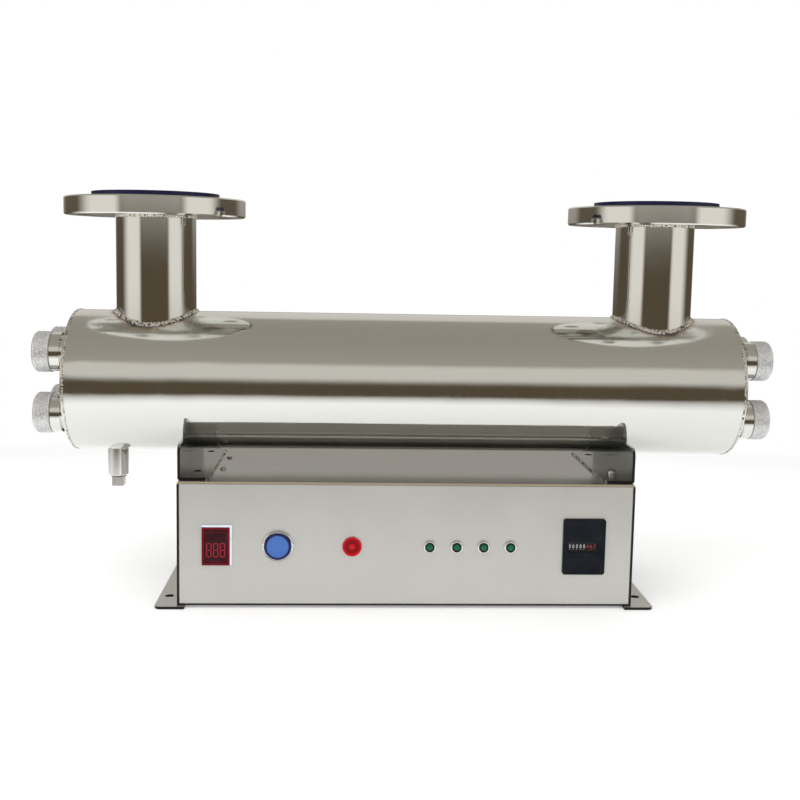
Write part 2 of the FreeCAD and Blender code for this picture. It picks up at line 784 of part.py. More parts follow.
def saddle_brackets():
    """Bent angle: a flange flat on the box and a web with a round seat for the chamber."""
    body = new_body("Bracket")
    sketch = new_sketch(body, "XZ_Plane", "Angle")
    outer = "Size.box_half_length"
    web_inside = "Size.box_half_length - Size.bracket_sheet"
    inner = "Size.box_half_length - Size.bracket_flange"
    flange_top = "Size.box_top + Size.bracket_sheet"
    outline(sketch, [
        (outer, "Size.box_top"),
        (outer, "Size.bracket_top"),
        (web_inside, "Size.bracket_top"),
        (web_inside, flange_top),
        (inner, flange_top),
        (inner, "Size.box_top"),
    ])
    angle = pad(body, sketch, "2 * Size.bracket_half_depth")
    inner_value = size_of("box_half_length") - size_of("bracket_flange")
    top = size_of("bracket_top")
    low = size_of("box_top")
    angle = dress(body, "Fillet", angle, "Size.bracket_bend",
                  lambda edge: runs_along_y(edge) and near(edge.BoundBox.ZMin, low)
                  and edge.BoundBox.XMin > inner_value + 1)
    angle = dress(body, "Fillet", angle, "Size.bracket_corner",
                  lambda edge: is_vertical(edge) and near(edge.BoundBox.XMin, inner_value))
    dress(body, "Fillet", angle, "Size.bracket_corner",
          lambda edge: near(edge.BoundBox.XLength, edge.Length) and near(edge.BoundBox.ZMin, top))
    seat = new_sketch(body, "YZ_Plane", "Seat")
    round_hole(seat, "Size.chamber_radius", "-Size.bracket_half_depth", "Size.axis_height")
    pocket_through(body, seat)
    drill = new_sketch(body, "XY_Plane", "Holes")
    for spread in ("-Size.bracket_hole_spread", "Size.bracket_hole_spread"):
        round_hole(drill, "Size.bracket_hole_radius", "Size.box_half_length - Size.bracket_hole_inset",
                   f"{spread} - Size.bracket_half_depth")
    pocket_through(body, drill)
    place(body, "0", "Size.bracket_half_depth")
    finished(body, "saddle_bracket_right")
    finished(mirrored("BracketLeft", body, V(1, 0, 0)), "saddle_bracket_left")


def box_fasteners():
    """The earth bolt through the right bracket, and two lid screws beside the left one."""
    across = "Size.box_half_length - Size.bracket_hole_inset"
    seat = "Size.box_top + Size.bracket_sheet"
    shank_length = "Size.bracket_sheet + 3 * Size.sheet"
    shank = cylinder("EarthShank", "Size.earth_shank_radius - 0.05", shank_length, across,
                     "-Size.bracket_hole_spread", f"{seat} - ({shank_length})")
    head = cylinder("EarthHead", "Size.earth_head_radius", "Size.earth_head_height", across,
                    "-Size.bracket_hole_spread", seat)
    finished(joined("EarthBolt", shank, head), "earth_bolt")
    screws = []
    for spread in ("-Size.lid_screw_spread", "Size.lid_screw_spread"):
        pin = cylinder("LidPin", "Size.lid_screw_shank_radius", "Size.lid_screw_length",
                       "-Size.lid_screw_offset", spread, "Size.box_top - Size.lid_screw_length")
        cap = cylinder("LidCap", "Size.lid_screw_radius", "Size.lid_screw_head",
                       "-Size.lid_screw_offset", spread, "Size.box_top")
        screws.append(joined("LidScrew", pin, cap))
    finished(group("LidScrews", *screws), "lid_screws")


# ---- front controls. FRONT is the panel's outer face; a bezel stands BEZEL_FRONT proud of it.

FRONT = "(-Size.box_half_depth)"
BEZEL_FRONT = "(-Size.box_half_depth - Size.bezel_proud)"


def domed(name, radius, length, x, front):
    """A round lens along Y whose front face is a shallow dome, from its front point back."""
    rod = cylinder(name + "Rod", radius, length, x, front, "Size.control_height", ALONG_Y)
    ball = doc.addObject("Part::Sphere", name + "Ball")
    ball_radius = f"(({radius}) ^ 2 + Size.lens_dome ^ 2) / (2 * Size.lens_dome)"
    ball.setExpression("Radius", ball_radius)
    place(ball, x, f"{front} + {ball_radius}", "Size.control_height")
    return shared(name, rod, ball)


def lamp_housing(name, bezel_radius, lens_radius, barrel_radius, depth, x):
    """A panel lamp's metal body: a bezel in front and a closed barrel behind the panel."""
    bezel = cylinder(name + "Bezel", bezel_radius, "Size.bezel_proud", x, BEZEL_FRONT,
                     "Size.control_height", ALONG_Y)
    barrel = cylinder(name + "Barrel", f"{barrel_radius} - 0.05", depth, x, FRONT, "Size.control_height",
                      ALONG_Y)
    seat = cylinder(name + "Seat", lens_radius, "Size.bezel_proud + 3", x, BEZEL_FRONT,
                    "Size.control_height", ALONG_Y)
    return less(name, joined(name + "Solid", bezel, barrel), seat)


def voltmeter():
    width = "Size.voltmeter_width"
    tall = "Size.voltmeter_height"
    rim = "Size.voltmeter_rim"
    left = f"Size.voltmeter_offset - {width} / 2"
    low = f"Size.control_height - {tall} / 2"
    frame = block("VoltmeterFrame", width, "Size.bezel_proud", tall, left, BEZEL_FRONT, low)
    back = block("VoltmeterBack", f"{width} - 2 * {rim} - 0.1", "Size.voltmeter_depth",
                 f"{tall} - 2 * {rim} - 0.1", f"{left} + {rim} + 0.05", FRONT, f"{low} + {rim} + 0.05")
    recess = block("VoltmeterRecess", f"{width} - 2 * {rim}", "Size.bezel_proud - 1",
                   f"{tall} - 2 * {rim}", f"{left} + {rim}", BEZEL_FRONT, f"{low} + {rim}")
    finished(less("Voltmeter", joined("VoltmeterSolid", frame, back), recess), "voltmeter_case")
    window = block("VoltmeterWindow", f"{width} - 2 * {rim}", "Size.bezel_proud - 1.4",
                   f"{tall} - 2 * {rim}", f"{left} + {rim}", f"{BEZEL_FRONT} + 0.4", f"{low} + {rim}")
    finished(window, "voltmeter_window")


def power_button():
    """A round push button: metal bezel, coloured ring, sprung cap and the switch that it works."""
    across = "Size.button_offset"
    up = "Size.control_height"
    ring_bore = "Size.button_cap_radius + Size.button_gap"
    flange = ring("ButtonFlange", "Size.button_bezel_radius", "Size.button_ring_radius", "Size.bezel_proud",
                  across, BEZEL_FRONT, up, ALONG_Y)
    barrel = ring("ButtonBarrel", "Size.button_barrel_radius - 0.05", "Size.button_ring_radius",
                  "Size.button_barrel_depth", across, FRONT, up, ALONG_Y)
    finished(joined("ButtonBezel", flange, barrel), "button_bezel")
    collar = ring("ButtonRing", "Size.button_ring_radius", ring_bore, "Size.bezel_proud + 8", across,
                  f"{BEZEL_FRONT} + 0.5", up, ALONG_Y)
    finished(collar, "button_ring")

    cap_front = f"{BEZEL_FRONT} - 1"
    cap = cylinder("ButtonCapDisc", "Size.button_cap_radius", "Size.button_cap_length", across, cap_front, up,
                   ALONG_Y)
    finished(cap, "button_cap")
    cap_back = f"{cap_front} + Size.button_cap_length"
    switch_front = f"({FRONT} + Size.button_barrel_depth)"
    body = block("SwitchBlock", "Size.switch_width", "Size.switch_depth", "Size.switch_width",
                 f"{across} - Size.switch_width / 2", switch_front, f"{up} - Size.switch_width / 2")
    finished(joined("SwitchBody", body, switch_flange(across, up, switch_front)), "button_switch")
    coil_spring(across, up, cap_back, switch_front)


def switch_flange(across, up, switch_front):
    """The disc that closes the barrel behind the spring."""
    return cylinder("SwitchDisc", "Size.button_ring_radius - 0.2", "2", across, f"{switch_front} - 2", up,
                    ALONG_Y)


def coil_spring(across, up, front, back):
    """The return spring between the cap and the switch, drawn at its rest length."""
    length = f"({back} - 2 - ({front}))"
    helix = doc.addObject("Part::Helix", "SpringLine")
    helix.setExpression("Radius", "Size.spring_radius")
    helix.setExpression("Height", f"{length} - 2 * Size.spring_wire_radius")
    helix.setExpression("Pitch", f"({length} - 2 * Size.spring_wire_radius) / Size.spring_turns")
    wire = doc.addObject("Part::Circle", "SpringWire")
    wire.setExpression("Radius", "Size.spring_wire_radius")
    place(wire, "Size.spring_radius", "0", "0", FreeCAD.Rotation(V(1, 0, 0), 90))
    sweep = doc.addObject("Part::Sweep", "Spring")
    doc.recompute()
    sweep.Sections = [wire]
    sweep.Spine = (helix, ["Edge1"])
    sweep.Solid = True
    sweep.Frenet = True
    place(sweep, across, f"{front} + Size.spring_wire_radius", up, ALONG_Y)
    finished(sweep, "button_spring")


def indicators():
    housing = lamp_housing("Indicator", "Size.indicator_bezel_radius", "Size.indicator_lens_radius",
                           "Size.indicator_barrel_radius", "Size.indicator_depth", "Size.indicator_offset")
    finished(housing, "indicator_bezel")
    lens = domed("IndicatorLens", "Size.indicator_lens_radius", "Size.bezel_proud + 4",
                 "Size.indicator_offset", f"({BEZEL_FRONT} - 1)")
    finished(lens, "indicator_lens")
    bezels = []
    lenses = []
    for index in range(int(size_of("status_count"))):
        across = f"Size.status_first + {index} * Size.status_pitch"
        bezels.append(lamp_housing(f"Status{index}", "Size.status_bezel_radius", "Size.status_lens_radius",
                                   "Size.status_barrel_radius", "Size.status_depth", across))
        lenses.append(domed(f"StatusLens{index}", "Size.status_lens_radius", "Size.bezel_proud + 3.6", across,
                            f"({BEZEL_FRONT} - 0.6)"))
    finished(group("StatusBezels", *bezels), "status_lamp_bezels")
    finished(group("StatusLenses", *lenses), "status_lamp_lenses")


WINDOW_MIDDLE = "(Size.counter_offset + Size.counter_window_shift)"
AXLE_Y = f"({BEZEL_FRONT} + Size.wheel_setback)"


def centred_block(name, width, depth, tall, across, front, up):
    """A block along Y from its front face, centred across and in height."""
    return block(name, width, depth, tall, f"{across} - ({width}) / 2", front, f"{up} - ({tall}) / 2")


def counter_bezel():
    """The counter's face plate, with rounded corners and a softened front edge."""
    body = new_body("CounterBezel")
    sketch = new_sketch(body, "XZ_Plane", "Plate")
    slot_in_panel(sketch, "Size.counter_offset", "Size.counter_width", "Size.counter_height",
                  "Size.counter_tall")
    plate = pad(body, sketch, "Size.bezel_proud")
    front = -size_of("bezel_proud")
    plate = dress(body, "Fillet", plate, "Size.counter_corner", runs_along_y)
    dress(body, "Fillet", plate, "Size.counter_edge",
          lambda edge: near(edge.BoundBox.YMin, front) and near(edge.BoundBox.YMax, front))
    return place(body, "0", FRONT)


def hour_counter():
    """The running-hours counter: case, window, axle and eight number wheels."""
    up = "Size.counter_height"
    bezel = counter_bezel()
    rear = centred_block("CounterRear", "Size.counter_body_width - 0.1", "Size.counter_depth",
                         "Size.counter_body_tall - 0.1", "Size.counter_offset", FRONT, up)
    opening = centred_block("CounterOpening", "Size.counter_window_width", "Size.counter_front_wall + 1",
                            "Size.counter_window_tall", WINDOW_MIDDLE, BEZEL_FRONT, up)
    cavity = centred_block("CounterCavity", "Size.counter_window_width", "Size.counter_cavity_depth",
                           "Size.counter_cavity_tall", WINDOW_MIDDLE,
                           f"{BEZEL_FRONT} + Size.counter_front_wall", up)
    key = block("CounterKey", "Size.counter_key_width", "Size.counter_key_depth", "Size.counter_key_width",
                "Size.counter_offset + Size.counter_width / 2 - Size.counter_key_right"
                " - Size.counter_key_width", BEZEL_FRONT,
                f"{up} - Size.counter_tall / 2 + Size.counter_key_low")
    case = less("CounterCase", joined("CounterSolid", bezel, rear), opening, cavity, key)
    finished(case, "counter_case")
    glass = centred_block("CounterGlass", "Size.counter_window_width", "Size.counter_glass",
                          "Size.counter_window_tall", WINDOW_MIDDLE, f"{BEZEL_FRONT} + 0.6", up)
    finished(glass, "counter_window")
    axle = cylinder("CounterAxle", "Size.axle_radius", "Size.counter_window_width",
                    f"{WINDOW_MIDDLE} - Size.counter_window_width / 2", AXLE_Y, up, ALONG_X)
    finished(axle, "counter_axle")
    for node, first, count in (("counter_wheels_white", 0, 5), ("counter_wheel_red_1", 5, 1),
                               ("counter_wheel_red_2", 6, 1), ("counter_wheel_red_3", 7, 1)):
        wheels = [number_wheel(index) for index in range(first, first + count)]
        finished(group("Wheels", *wheels) if count > 1 else wheels[0], node)


def number_wheel(index):
    """One wheel of the counter, numbered from the left."""
    left = f"{WINDOW_MIDDLE} + ({index} - 4) * Size.wheel_pitch + (Size.wheel_pitch - Size.wheel_width) / 2"
    return ring(f"Wheel{index}", "Size.wheel_radius", "Size.axle_radius + Size.wheel_bore_gap",
                "Size.wheel_width", left, AXLE_Y, "Size.counter_height", ALONG_X)


# ---- inside and behind the box


def electrics():
    """Four ballasts and a terminal block on the tray, and the grommets in the back panel."""
    floor_top = "Size.box_bottom + Size.base_sheet"
    ballasts = []
    for side in (-1, 1):
        for row in (0, 1):
            left = f"{side} * Size.ballast_offset_x - Size.ballast_length / 2"
            front = f"Size.ballast_first_y + {row} * Size.ballast_pitch_y - Size.ballast_width / 2"
            ballasts.append(block("Ballast", "Size.ballast_length", "Size.ballast_width", "Size.ballast_tall",
                                  left, front, floor_top))
    finished(group("Ballasts", *ballasts), "ballasts")

    strip = block("TerminalStrip", "Size.terminal_length", "Size.terminal_width", "Size.terminal_tall",
                  "-Size.terminal_length / 2", "Size.terminal_y - Size.terminal_width / 2", floor_top)
    notches = []
    for index in range(1, int(size_of("terminal_poles"))):
        middle = f"-Size.terminal_length / 2 + {index} * Size.terminal_length / Size.terminal_poles"
        notches.append(block("TerminalNotch", "Size.terminal_notch / 2", "Size.terminal_width",
                             "Size.terminal_notch", f"{middle} - Size.terminal_notch / 4",
                             "Size.terminal_y - Size.terminal_width / 2",
                             f"{floor_top} + Size.terminal_tall - Size.terminal_notch"))
    finished(less("TerminalBlock", strip, *notches), "terminal_block")

    grommets = []
    for index in range(int(size_of("cable_count"))):
        across = f"-(Size.cable_first + {index} * Size.cable_pitch)"
        flange = cylinder("GrommetLip", "Size.cable_hole_radius + Size.cable_grommet_lip",
                          "Size.cable_grommet_proud", across, "Size.box_half_depth", "Size.cable_height",
                          ALONG_Y)
        neck = cylinder("GrommetNeck", "Size.cable_hole_radius", "2 * Size.sheet", across,
                        "Size.box_half_depth - 2 * Size.sheet", "Size.cable_height", ALONG_Y)
        bore = cylinder("GrommetBore", "Size.cable_bore_radius", "4 * Size.sheet + Size.cable_grommet_proud",
                        across, "Size.box_half_depth - 3 * Size.sheet", "Size.cable_height", ALONG_Y)
        grommets.append(less("Grommet", joined("GrommetSolid", flange, neck), bore))
    finished(group("CableGrommets", *grommets), "cable_grommets")


def write_parts():
    """Checks every object of the document, then writes one file per sub-part."""
    doc.recompute()
    for piece in doc.Objects:
        if "Invalid" in piece.State or "Error" in piece.State:
            raise RuntimeError(f"{piece.Name} ({piece.Label}) did not build: {piece.State}")
    os.makedirs("parts", exist_ok=True)
    for piece in subparts:
        if piece.Shape.isNull() or not piece.Shape.isValid():
            raise RuntimeError(f"{piece.Label} has no valid shape")
        piece.Shape.exportStep(f"parts/{piece.Label}.step")
        print(piece.Label, len(piece.Shape.Solids), round(piece.Shape.Volume, 1))


chamber_tube()
end_plates()
port_necks()
port_flanges()
flange_covers()
gland_sockets()
sleeves_and_lamps()
seals()
lamp_nuts()
drain()
box_base()
box_cover()
panels()
feet()
saddle_brackets()
box_fasteners()
voltmeter()
power_button()
indicators()
hour_counter()
electrics()
write_parts()
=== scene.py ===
import math

import bpy
from mathutils import Matrix, Vector


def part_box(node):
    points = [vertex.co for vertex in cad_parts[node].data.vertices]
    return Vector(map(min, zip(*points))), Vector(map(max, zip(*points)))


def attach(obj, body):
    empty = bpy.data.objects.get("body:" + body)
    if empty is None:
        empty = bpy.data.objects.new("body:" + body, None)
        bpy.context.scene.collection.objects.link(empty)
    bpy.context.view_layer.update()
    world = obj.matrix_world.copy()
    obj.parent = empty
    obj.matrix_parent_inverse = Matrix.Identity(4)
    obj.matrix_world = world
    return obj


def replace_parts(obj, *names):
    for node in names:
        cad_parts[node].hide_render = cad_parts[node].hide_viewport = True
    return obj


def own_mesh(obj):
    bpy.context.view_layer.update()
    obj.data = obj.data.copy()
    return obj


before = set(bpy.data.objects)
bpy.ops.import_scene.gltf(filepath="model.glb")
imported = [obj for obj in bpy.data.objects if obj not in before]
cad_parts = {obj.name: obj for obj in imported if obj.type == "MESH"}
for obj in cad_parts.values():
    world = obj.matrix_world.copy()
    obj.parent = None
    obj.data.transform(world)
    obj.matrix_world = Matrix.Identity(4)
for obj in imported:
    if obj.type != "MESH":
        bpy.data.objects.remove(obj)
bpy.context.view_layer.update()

# The UV clarifier's looks: polished steel, weld beads, knurled nuts, panel controls and a studio.
# Everything is in metres in the part's own frame: X along the chamber, the panel faces -Y, +Z up.

MM = 0.001
HOUSING = "housing"


# ---- places read from the frame


def middle(node):
    low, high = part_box(node)
    return (low + high) / 2


def extent(node):
    low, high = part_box(node)
    return high - low


CHAMBER_LOW, CHAMBER_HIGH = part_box("chamber_tube")
AXIS_Z = (CHAMBER_LOW.z + CHAMBER_HIGH.z) / 2
CHAMBER_RADIUS = (CHAMBER_HIGH.z - CHAMBER_LOW.z) / 2
NECK_RADIUS = extent("port_neck_left").x / 2
NECK_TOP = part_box("port_neck_left")[1].z
END_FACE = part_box("end_plate_right")[1].x
PANEL_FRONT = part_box("front_panel")[0].y
BEZEL_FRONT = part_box("button_bezel")[0].y
BOX_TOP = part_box("box_cover")[1].z
BRACKET_SHEET = 3 * MM


# ---- colour and node helpers


def srgb(red, green, blue, alpha=1.0):
    """A display colour from 0 to 255 as a linear one."""
    def linear(value):
        value /= 255
        return value / 12.92 if value <= 0.04045 else ((value + 0.055) / 1.055) ** 2.4
    return linear(red), linear(green), linear(blue), alpha


def material(name, color, metallic=0.0, roughness=0.5, **inputs):
    """A Principled material; further inputs are given by name with underscores for spaces."""
    made = bpy.data.materials.new(name)
    made.use_nodes = True
    shader = made.node_tree.nodes["Principled BSDF"]
    shader.inputs["Base Color"].default_value = color
    shader.inputs["Metallic"].default_value = metallic
    shader.inputs["Roughness"].default_value = roughness
    for key, value in inputs.items():
        shader.inputs[key.replace("_", " ")].default_value = value
    return made


def shader_of(made):
    return made.node_tree.nodes["Principled BSDF"]


def noise(made, scale, detail=3.0, stretch=(1, 1, 1)):
    """Noise in object space; stretch scales the space first, so a small value draws it out."""
    tree = made.node_tree
    place = tree.nodes.new("ShaderNodeTexCoord")
    mapping = tree.nodes.new("ShaderNodeMapping")
    mapping.inputs["Scale"].default_value = stretch
    texture = tree.nodes.new("ShaderNodeTexNoise")
    texture.inputs["Scale"].default_value = scale
    texture.inputs["Detail"].default_value = detail
    tree.links.new(place.outputs["Object"], mapping.inputs["Vector"])
    tree.links.new(mapping.outputs["Vector"], texture.inputs["Vector"])
    return texture.outputs["Fac"]


def ramp(tree, factor, stops):
    node = tree.nodes.new("ShaderNodeValToRGB")
    elements = node.color_ramp.elements
    while len(elements) > 1:
        elements.remove(elements[-1])
    elements[0].position, elements[0].color = stops[0]
    for position, color in stops[1:]:
        elements.new(position).color = color
    tree.links.new(factor, node.inputs["Fac"])
    return node.outputs["Color"]


def rescale(tree, value, low, high, to_low=0.0, to_high=1.0, kind="LINEAR"):
    node = tree.nodes.new("ShaderNodeMapRange")
    node.interpolation_type = kind
    tree.links.new(value, node.inputs["Value"])
    node.inputs["From Min"].default_value = low
    node.inputs["From Max"].default_value = high
    node.inputs["To Min"].default_value = to_low
    node.inputs["To Max"].default_value = to_high
    return node.outputs["Result"]


def calculate(tree, operation, first, second=None):
    node = tree.nodes.new("ShaderNodeMath")
    node.operation = operation
    for socket, value in zip(node.inputs, (first, second)):
        if isinstance(value, (int, float)):
            socket.default_value = value
        elif value is not None:
            tree.links.new(value, socket)
    return node.outputs[0]


def mix(tree, factor, first, second):
    """Colour first where the factor is 0 and second where it is 1; either may be a plain colour."""
    node = tree.nodes.new("ShaderNodeMix")
    node.data_type = "RGBA"
    tree.links.new(factor, node.inputs["Factor"])
    for key, value in (("A", first), ("B", second)):
        socket = next(s for s in node.inputs if s.name == key and s.type == "RGBA")
        if isinstance(value, tuple):
            socket.default_value = value
        else:
            tree.links.new(value, socket)
    return next(s for s in node.outputs if s.type == "RGBA")


def set_roughness(made, value, low, high):
    tree = made.node_tree
    tree.links.new(rescale(tree, value, 0.3, 0.7, low, high), shader_of(made).inputs["Roughness"])


def set_color(made, value, *stops):
    tree = made.node_tree
    tree.links.new(ramp(tree, value, stops), shader_of(made).inputs["Base Color"])


def add_bump(made, height, depth):
    """Bump of this depth in metres; a second call adds to the first."""
    tree = made.node_tree
    node = tree.nodes.new("ShaderNodeBump")
    node.inputs["Distance"].default_value = depth
    node.inputs["Strength"].default_value = 1.0
    tree.links.new(height, node.inputs["Height"])
    normal = shader_of(made).inputs["Normal"]
    if normal.links:
        tree.links.new(normal.links[0].from_socket, node.inputs["Normal"])
    tree.links.new(node.outputs["Normal"], normal)


def coordinate(tree, axis, space="Object"):
    """One axis of a texture coordinate; the space may also be Normal or Generated."""
    place = tree.nodes.new("ShaderNodeTexCoord")
    split = tree.nodes.new("ShaderNodeSeparateXYZ")
    tree.links.new(place.outputs[space], split.inputs["Vector"])
    return split.outputs[axis]


def facing(tree, axis):
    """How far a face looks along an axis: 1 along it, 0 across it and -1 against it."""
    return coordinate(tree, axis, "Normal")


def shade_faces(made, mask, color, roughness):
    """Where the mask is 1 the finish changes to this colour and at least this roughness."""
    tree = made.node_tree
    base = shader_of(made).inputs["Base Color"]
    before = base.links[0].from_socket if base.links else tuple(base.default_value)
    tree.links.new(mix(tree, mask, before, color), base)
    rough = shader_of(made).inputs["Roughness"]
    least = calculate(tree, "MULTIPLY", mask, roughness)
    tree.links.new(calculate(tree, "MAXIMUM", rough.links[0].from_socket, least), rough)


def sheared_edges(made, axis, color):
    """Painted shade on sheet metal's cut edges: the faces that look along this axis, either way, are
    darkened.
    """
    tree = made.node_tree
    along = calculate(tree, "ABSOLUTE", facing(tree, axis))
    shade_faces(made, rescale(tree, along, 0.6, 0.8), color, 0.5)


def front_rim(made):
    """A painted highlight: a paler strip on the front rim along the top of the box."""
    tree = made.node_tree
    high = rescale(tree, coordinate(tree, "Z"), BOX_TOP - 3.4 * MM, BOX_TOP - 2.4 * MM)
    ahead = rescale(tree, facing(tree, "Y"), -0.6, -0.8)
    shade_faces(made, calculate(tree, "MULTIPLY", high, ahead), RIM_PAINTED_HIGHLIGHT, 0.4)


def paint(made, *nodes):
    """Gives CAD nodes a finished material."""
    for name in nodes:
        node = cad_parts[name]
        node.data.materials.clear()
        node.data.materials.append(made)


# ---- materials


def polished_steel(name, tint, lines, waviness, roughness=0.03):
    """Mirror-polished stainless steel; the polishing lines' stretch says which way they run."""
    made = material(name, tint, 1.0, roughness)
    tree = made.node_tree
    smudges = calculate(tree, "MULTIPLY", noise(made, 22, 5), noise(made, 900, 2, lines))
    tree.links.new(rescale(tree, smudges, 0.15, 0.4, roughness, roughness + 0.08),
                   shader_of(made).inputs["Roughness"])
    add_bump(made, noise(made, 9, 2), waviness)
    add_bump(made, noise(made, 700, 2, lines), 0.000003)
    return made


def distance_to_neck(tree, x):
    """Distance from the upright cylinder of a port's neck, in metres."""
    across = calculate(tree, "SUBTRACT", coordinate(tree, "X"), x)
    square = calculate(tree, "ADD", calculate(tree, "POWER", across, 2.0),
                       calculate(tree, "POWER", coordinate(tree, "Y"), 2.0))
    radius = calculate(tree, "POWER", square, 0.5)
    return calculate(tree, "ABSOLUTE", calculate(tree, "SUBTRACT", radius, NECK_RADIUS))


def above_height(tree, height, spread):
    """1 above a height and 0 below it, changing over a short spread."""
    return rescale(tree, coordinate(tree, "Z"), height - spread, height + spread)


def distance_to_middle(tree):
    """Distance along the tube from its middle, in metres."""
    return calculate(tree, "ABSOLUTE", coordinate(tree, "X"))


def chamber_steel():
    """Polished tube with straw and blue heat colours by the neck welds, warped near the necks and ends."""
    made = polished_steel("chamber_steel", srgb(222, 222, 217), (1.0, 0.02, 0.02), 0.0006, 0.045)
    tree = made.node_tree
    left = distance_to_neck(tree, middle("port_neck_left").x)
    right = distance_to_neck(tree, middle("port_neck_right").x)
    nearest = calculate(tree, "MINIMUM", left, right)
    uneven = calculate(tree, "ADD", nearest, rescale(tree, noise(made, 160), 0.3, 0.7, -0.0015, 0.0015))
    stops = (
        (0.0, srgb(104, 98, 96)),
        (0.34, srgb(104, 104, 150)),
        (0.50, srgb(176, 152, 130)),
        (0.70, srgb(216, 206, 186)),
        (1.0, srgb(222, 222, 217)),
    )
    spread = rescale(tree, uneven, 0.0, 0.009)
    lower_half = calculate(tree, "SUBTRACT", 1.0, above_height(tree, AXIS_Z, 0.005))
    set_color(made, calculate(tree, "MAXIMUM", spread, lower_half), *stops)
    warped = calculate(tree, "MAXIMUM", rescale(tree, nearest, 0.07, 0.0),
                       rescale(tree, distance_to_middle(tree), 0.29, 0.37))
    ripples = calculate(tree, "MULTIPLY", noise(made, 24, 1), warped)
    add_bump(made, ripples, 0.0010)
    gloss = shader_of(made).inputs["Roughness"]
    ground = calculate(tree, "MULTIPLY", rescale(tree, nearest, 0.07, 0.02, 0.0, 0.10),
                       above_height(tree, AXIS_Z + 0.05, 0.015))
    tree.links.new(calculate(tree, "ADD", gloss.links[0].from_socket, ground), gloss)
    return made


def satin_sheet(name, tint, roughness, metallic=0.85):
    """Fine-ground sheet: faint grain along X and soft cloudy marks."""
    made = material(name, tint, metallic, roughness)
    grain = noise(made, 1400, 2, (0.03, 1, 1))
    cloud = noise(made, 14, 4)
    tree = made.node_tree
    set_roughness(made, calculate(tree, "MULTIPLY", calculate(tree, "ADD", grain, cloud), 0.5),
                  roughness - 0.05, roughness + 0.06)
    darker = tuple(0.93 * part for part in tint[:3]) + (1.0,)
    set_color(made, cloud, (0.3, darker), (0.7, tint))
    add_bump(made, grain, 0.000006)
    return made


def knurled_metal():
    """Matte blasted steel; the high spots are rubbed a little brighter."""
    made = material("knurled_metal", srgb(214, 214, 214), 0.6, 0.38)
    speck = noise(made, 1100, 3)
    set_color(made, speck, (0.36, srgb(172, 171, 170)), (0.62, srgb(242, 242, 242)))
    set_roughness(made, speck, 0.32, 0.5)
    add_bump(made, speck, 0.00005)
    return made


def weld_metal():
    """Bare weld bead, silver with straw and blue patches."""
    made = material("weld_metal", srgb(200, 196, 186), 0.9, 0.3)
    patches = noise(made, 330, 3)
    set_color(made, patches, (0.36, srgb(66, 62, 64)), (0.46, srgb(206, 202, 190)),
              (0.58, srgb(240, 237, 226)), (0.68, srgb(176, 150, 108)))
    set_roughness(made, noise(made, 700), 0.16, 0.34)
    add_bump(made, noise(made, 900, 3), 0.0004)
    return made


def turned_metal(name, tint, roughness):
    """Turned or plated metal with a fine, slightly uneven finish."""
    made = material(name, tint, 1.0, roughness)
    set_roughness(made, noise(made, 800, 3), roughness - 0.06, roughness + 0.08)
    add_bump(made, noise(made, 1100, 2), 0.00001)
    return made


def moulded(name, tint, roughness, coat=0.0, grain=0.00002, shine=0.3):
    """Moulded plastic or rubber: slightly uneven gloss, fine surface grain and faint dust."""
    made = material(name, tint, 0.0, roughness, Coat_Weight=coat, Coat_Roughness=0.12,
                    Specular_IOR_Level=shine)
    uneven = noise(made, 60, 4)
    set_roughness(made, uneven, max(0.03, roughness - 0.06), roughness + 0.08)
    dusty = tuple(part * 0.92 + 0.008 for part in tint[:3]) + (1.0,)
    set_color(made, uneven, (0.35, tint), (0.75, dusty))
    add_bump(made, noise(made, 2200, 2), grain)
    return made


def clear(name, tint, roughness=0.02):
    """Clear fused glass."""
    made = material(name, tint, 0.0, roughness, Transmission_Weight=1.0, IOR=1.46)
    set_roughness(made, noise(made, 40, 3), roughness, roughness + 0.03)
    return made


# Painted shade for the sheet metal's cut edges.
EDGE_PAINTED_SHADE = srgb(44, 43, 40)
# Painted highlight for the lid's front rim.
RIM_PAINTED_HIGHLIGHT = srgb(186, 172, 146)

CHAMBER_STEEL = chamber_steel()
PORT_STEEL = polished_steel("port_steel", srgb(222, 222, 217), (0.6, 0.6, 0.6), 0.0002, 0.02)
PLATE_STEEL = polished_steel("plate_steel", srgb(220, 220, 216), (0.02, 1.0, 1.0), 0.00025)
PANEL_STEEL = satin_sheet("panel_steel", srgb(203, 202, 197), 0.4, 0.7)
LID_STEEL = satin_sheet("lid_steel", srgb(186, 186, 183), 0.16)
BRACKET_STEEL = satin_sheet("bracket_steel", srgb(162, 163, 160), 0.2)
FOOT_STEEL = satin_sheet("foot_steel", srgb(210, 210, 207), 0.36)
# Painted shade: the cut edges of the lid, the brackets and the feet are darkened.
sheared_edges(LID_STEEL, "Y", EDGE_PAINTED_SHADE)
# Painted highlight: a paler strip on the lid's front rim.
front_rim(LID_STEEL)
sheared_edges(BRACKET_STEEL, "Y", EDGE_PAINTED_SHADE)
sheared_edges(FOOT_STEEL, "X", EDGE_PAINTED_SHADE)
sheared_edges(FOOT_STEEL, "Y", EDGE_PAINTED_SHADE)
KNURLED = knurled_metal()
WELD = weld_metal()
TURNED = turned_metal("turned_steel", srgb(190, 188, 183), 0.25)
CHROME = turned_metal("chrome_plate", srgb(225, 226, 228), 0.1)
RUBBER = moulded("black_rubber", srgb(24, 24, 26), 0.6, grain=0.00005)
BLACK = moulded("black_plastic", srgb(14, 15, 18), 0.42)
COUNTER_BLACK = moulded("counter_plastic", srgb(10, 16, 26), 0.45, shine=0.12)
NAVY = moulded("navy_ring", srgb(4, 12, 76), 0.3, coat=0.2)
BLUE = moulded("blue_cap", srgb(62, 106, 182), 0.38, coat=0.2)
RED = moulded("red_plastic", srgb(190, 0, 22), 0.3, shine=0.18)
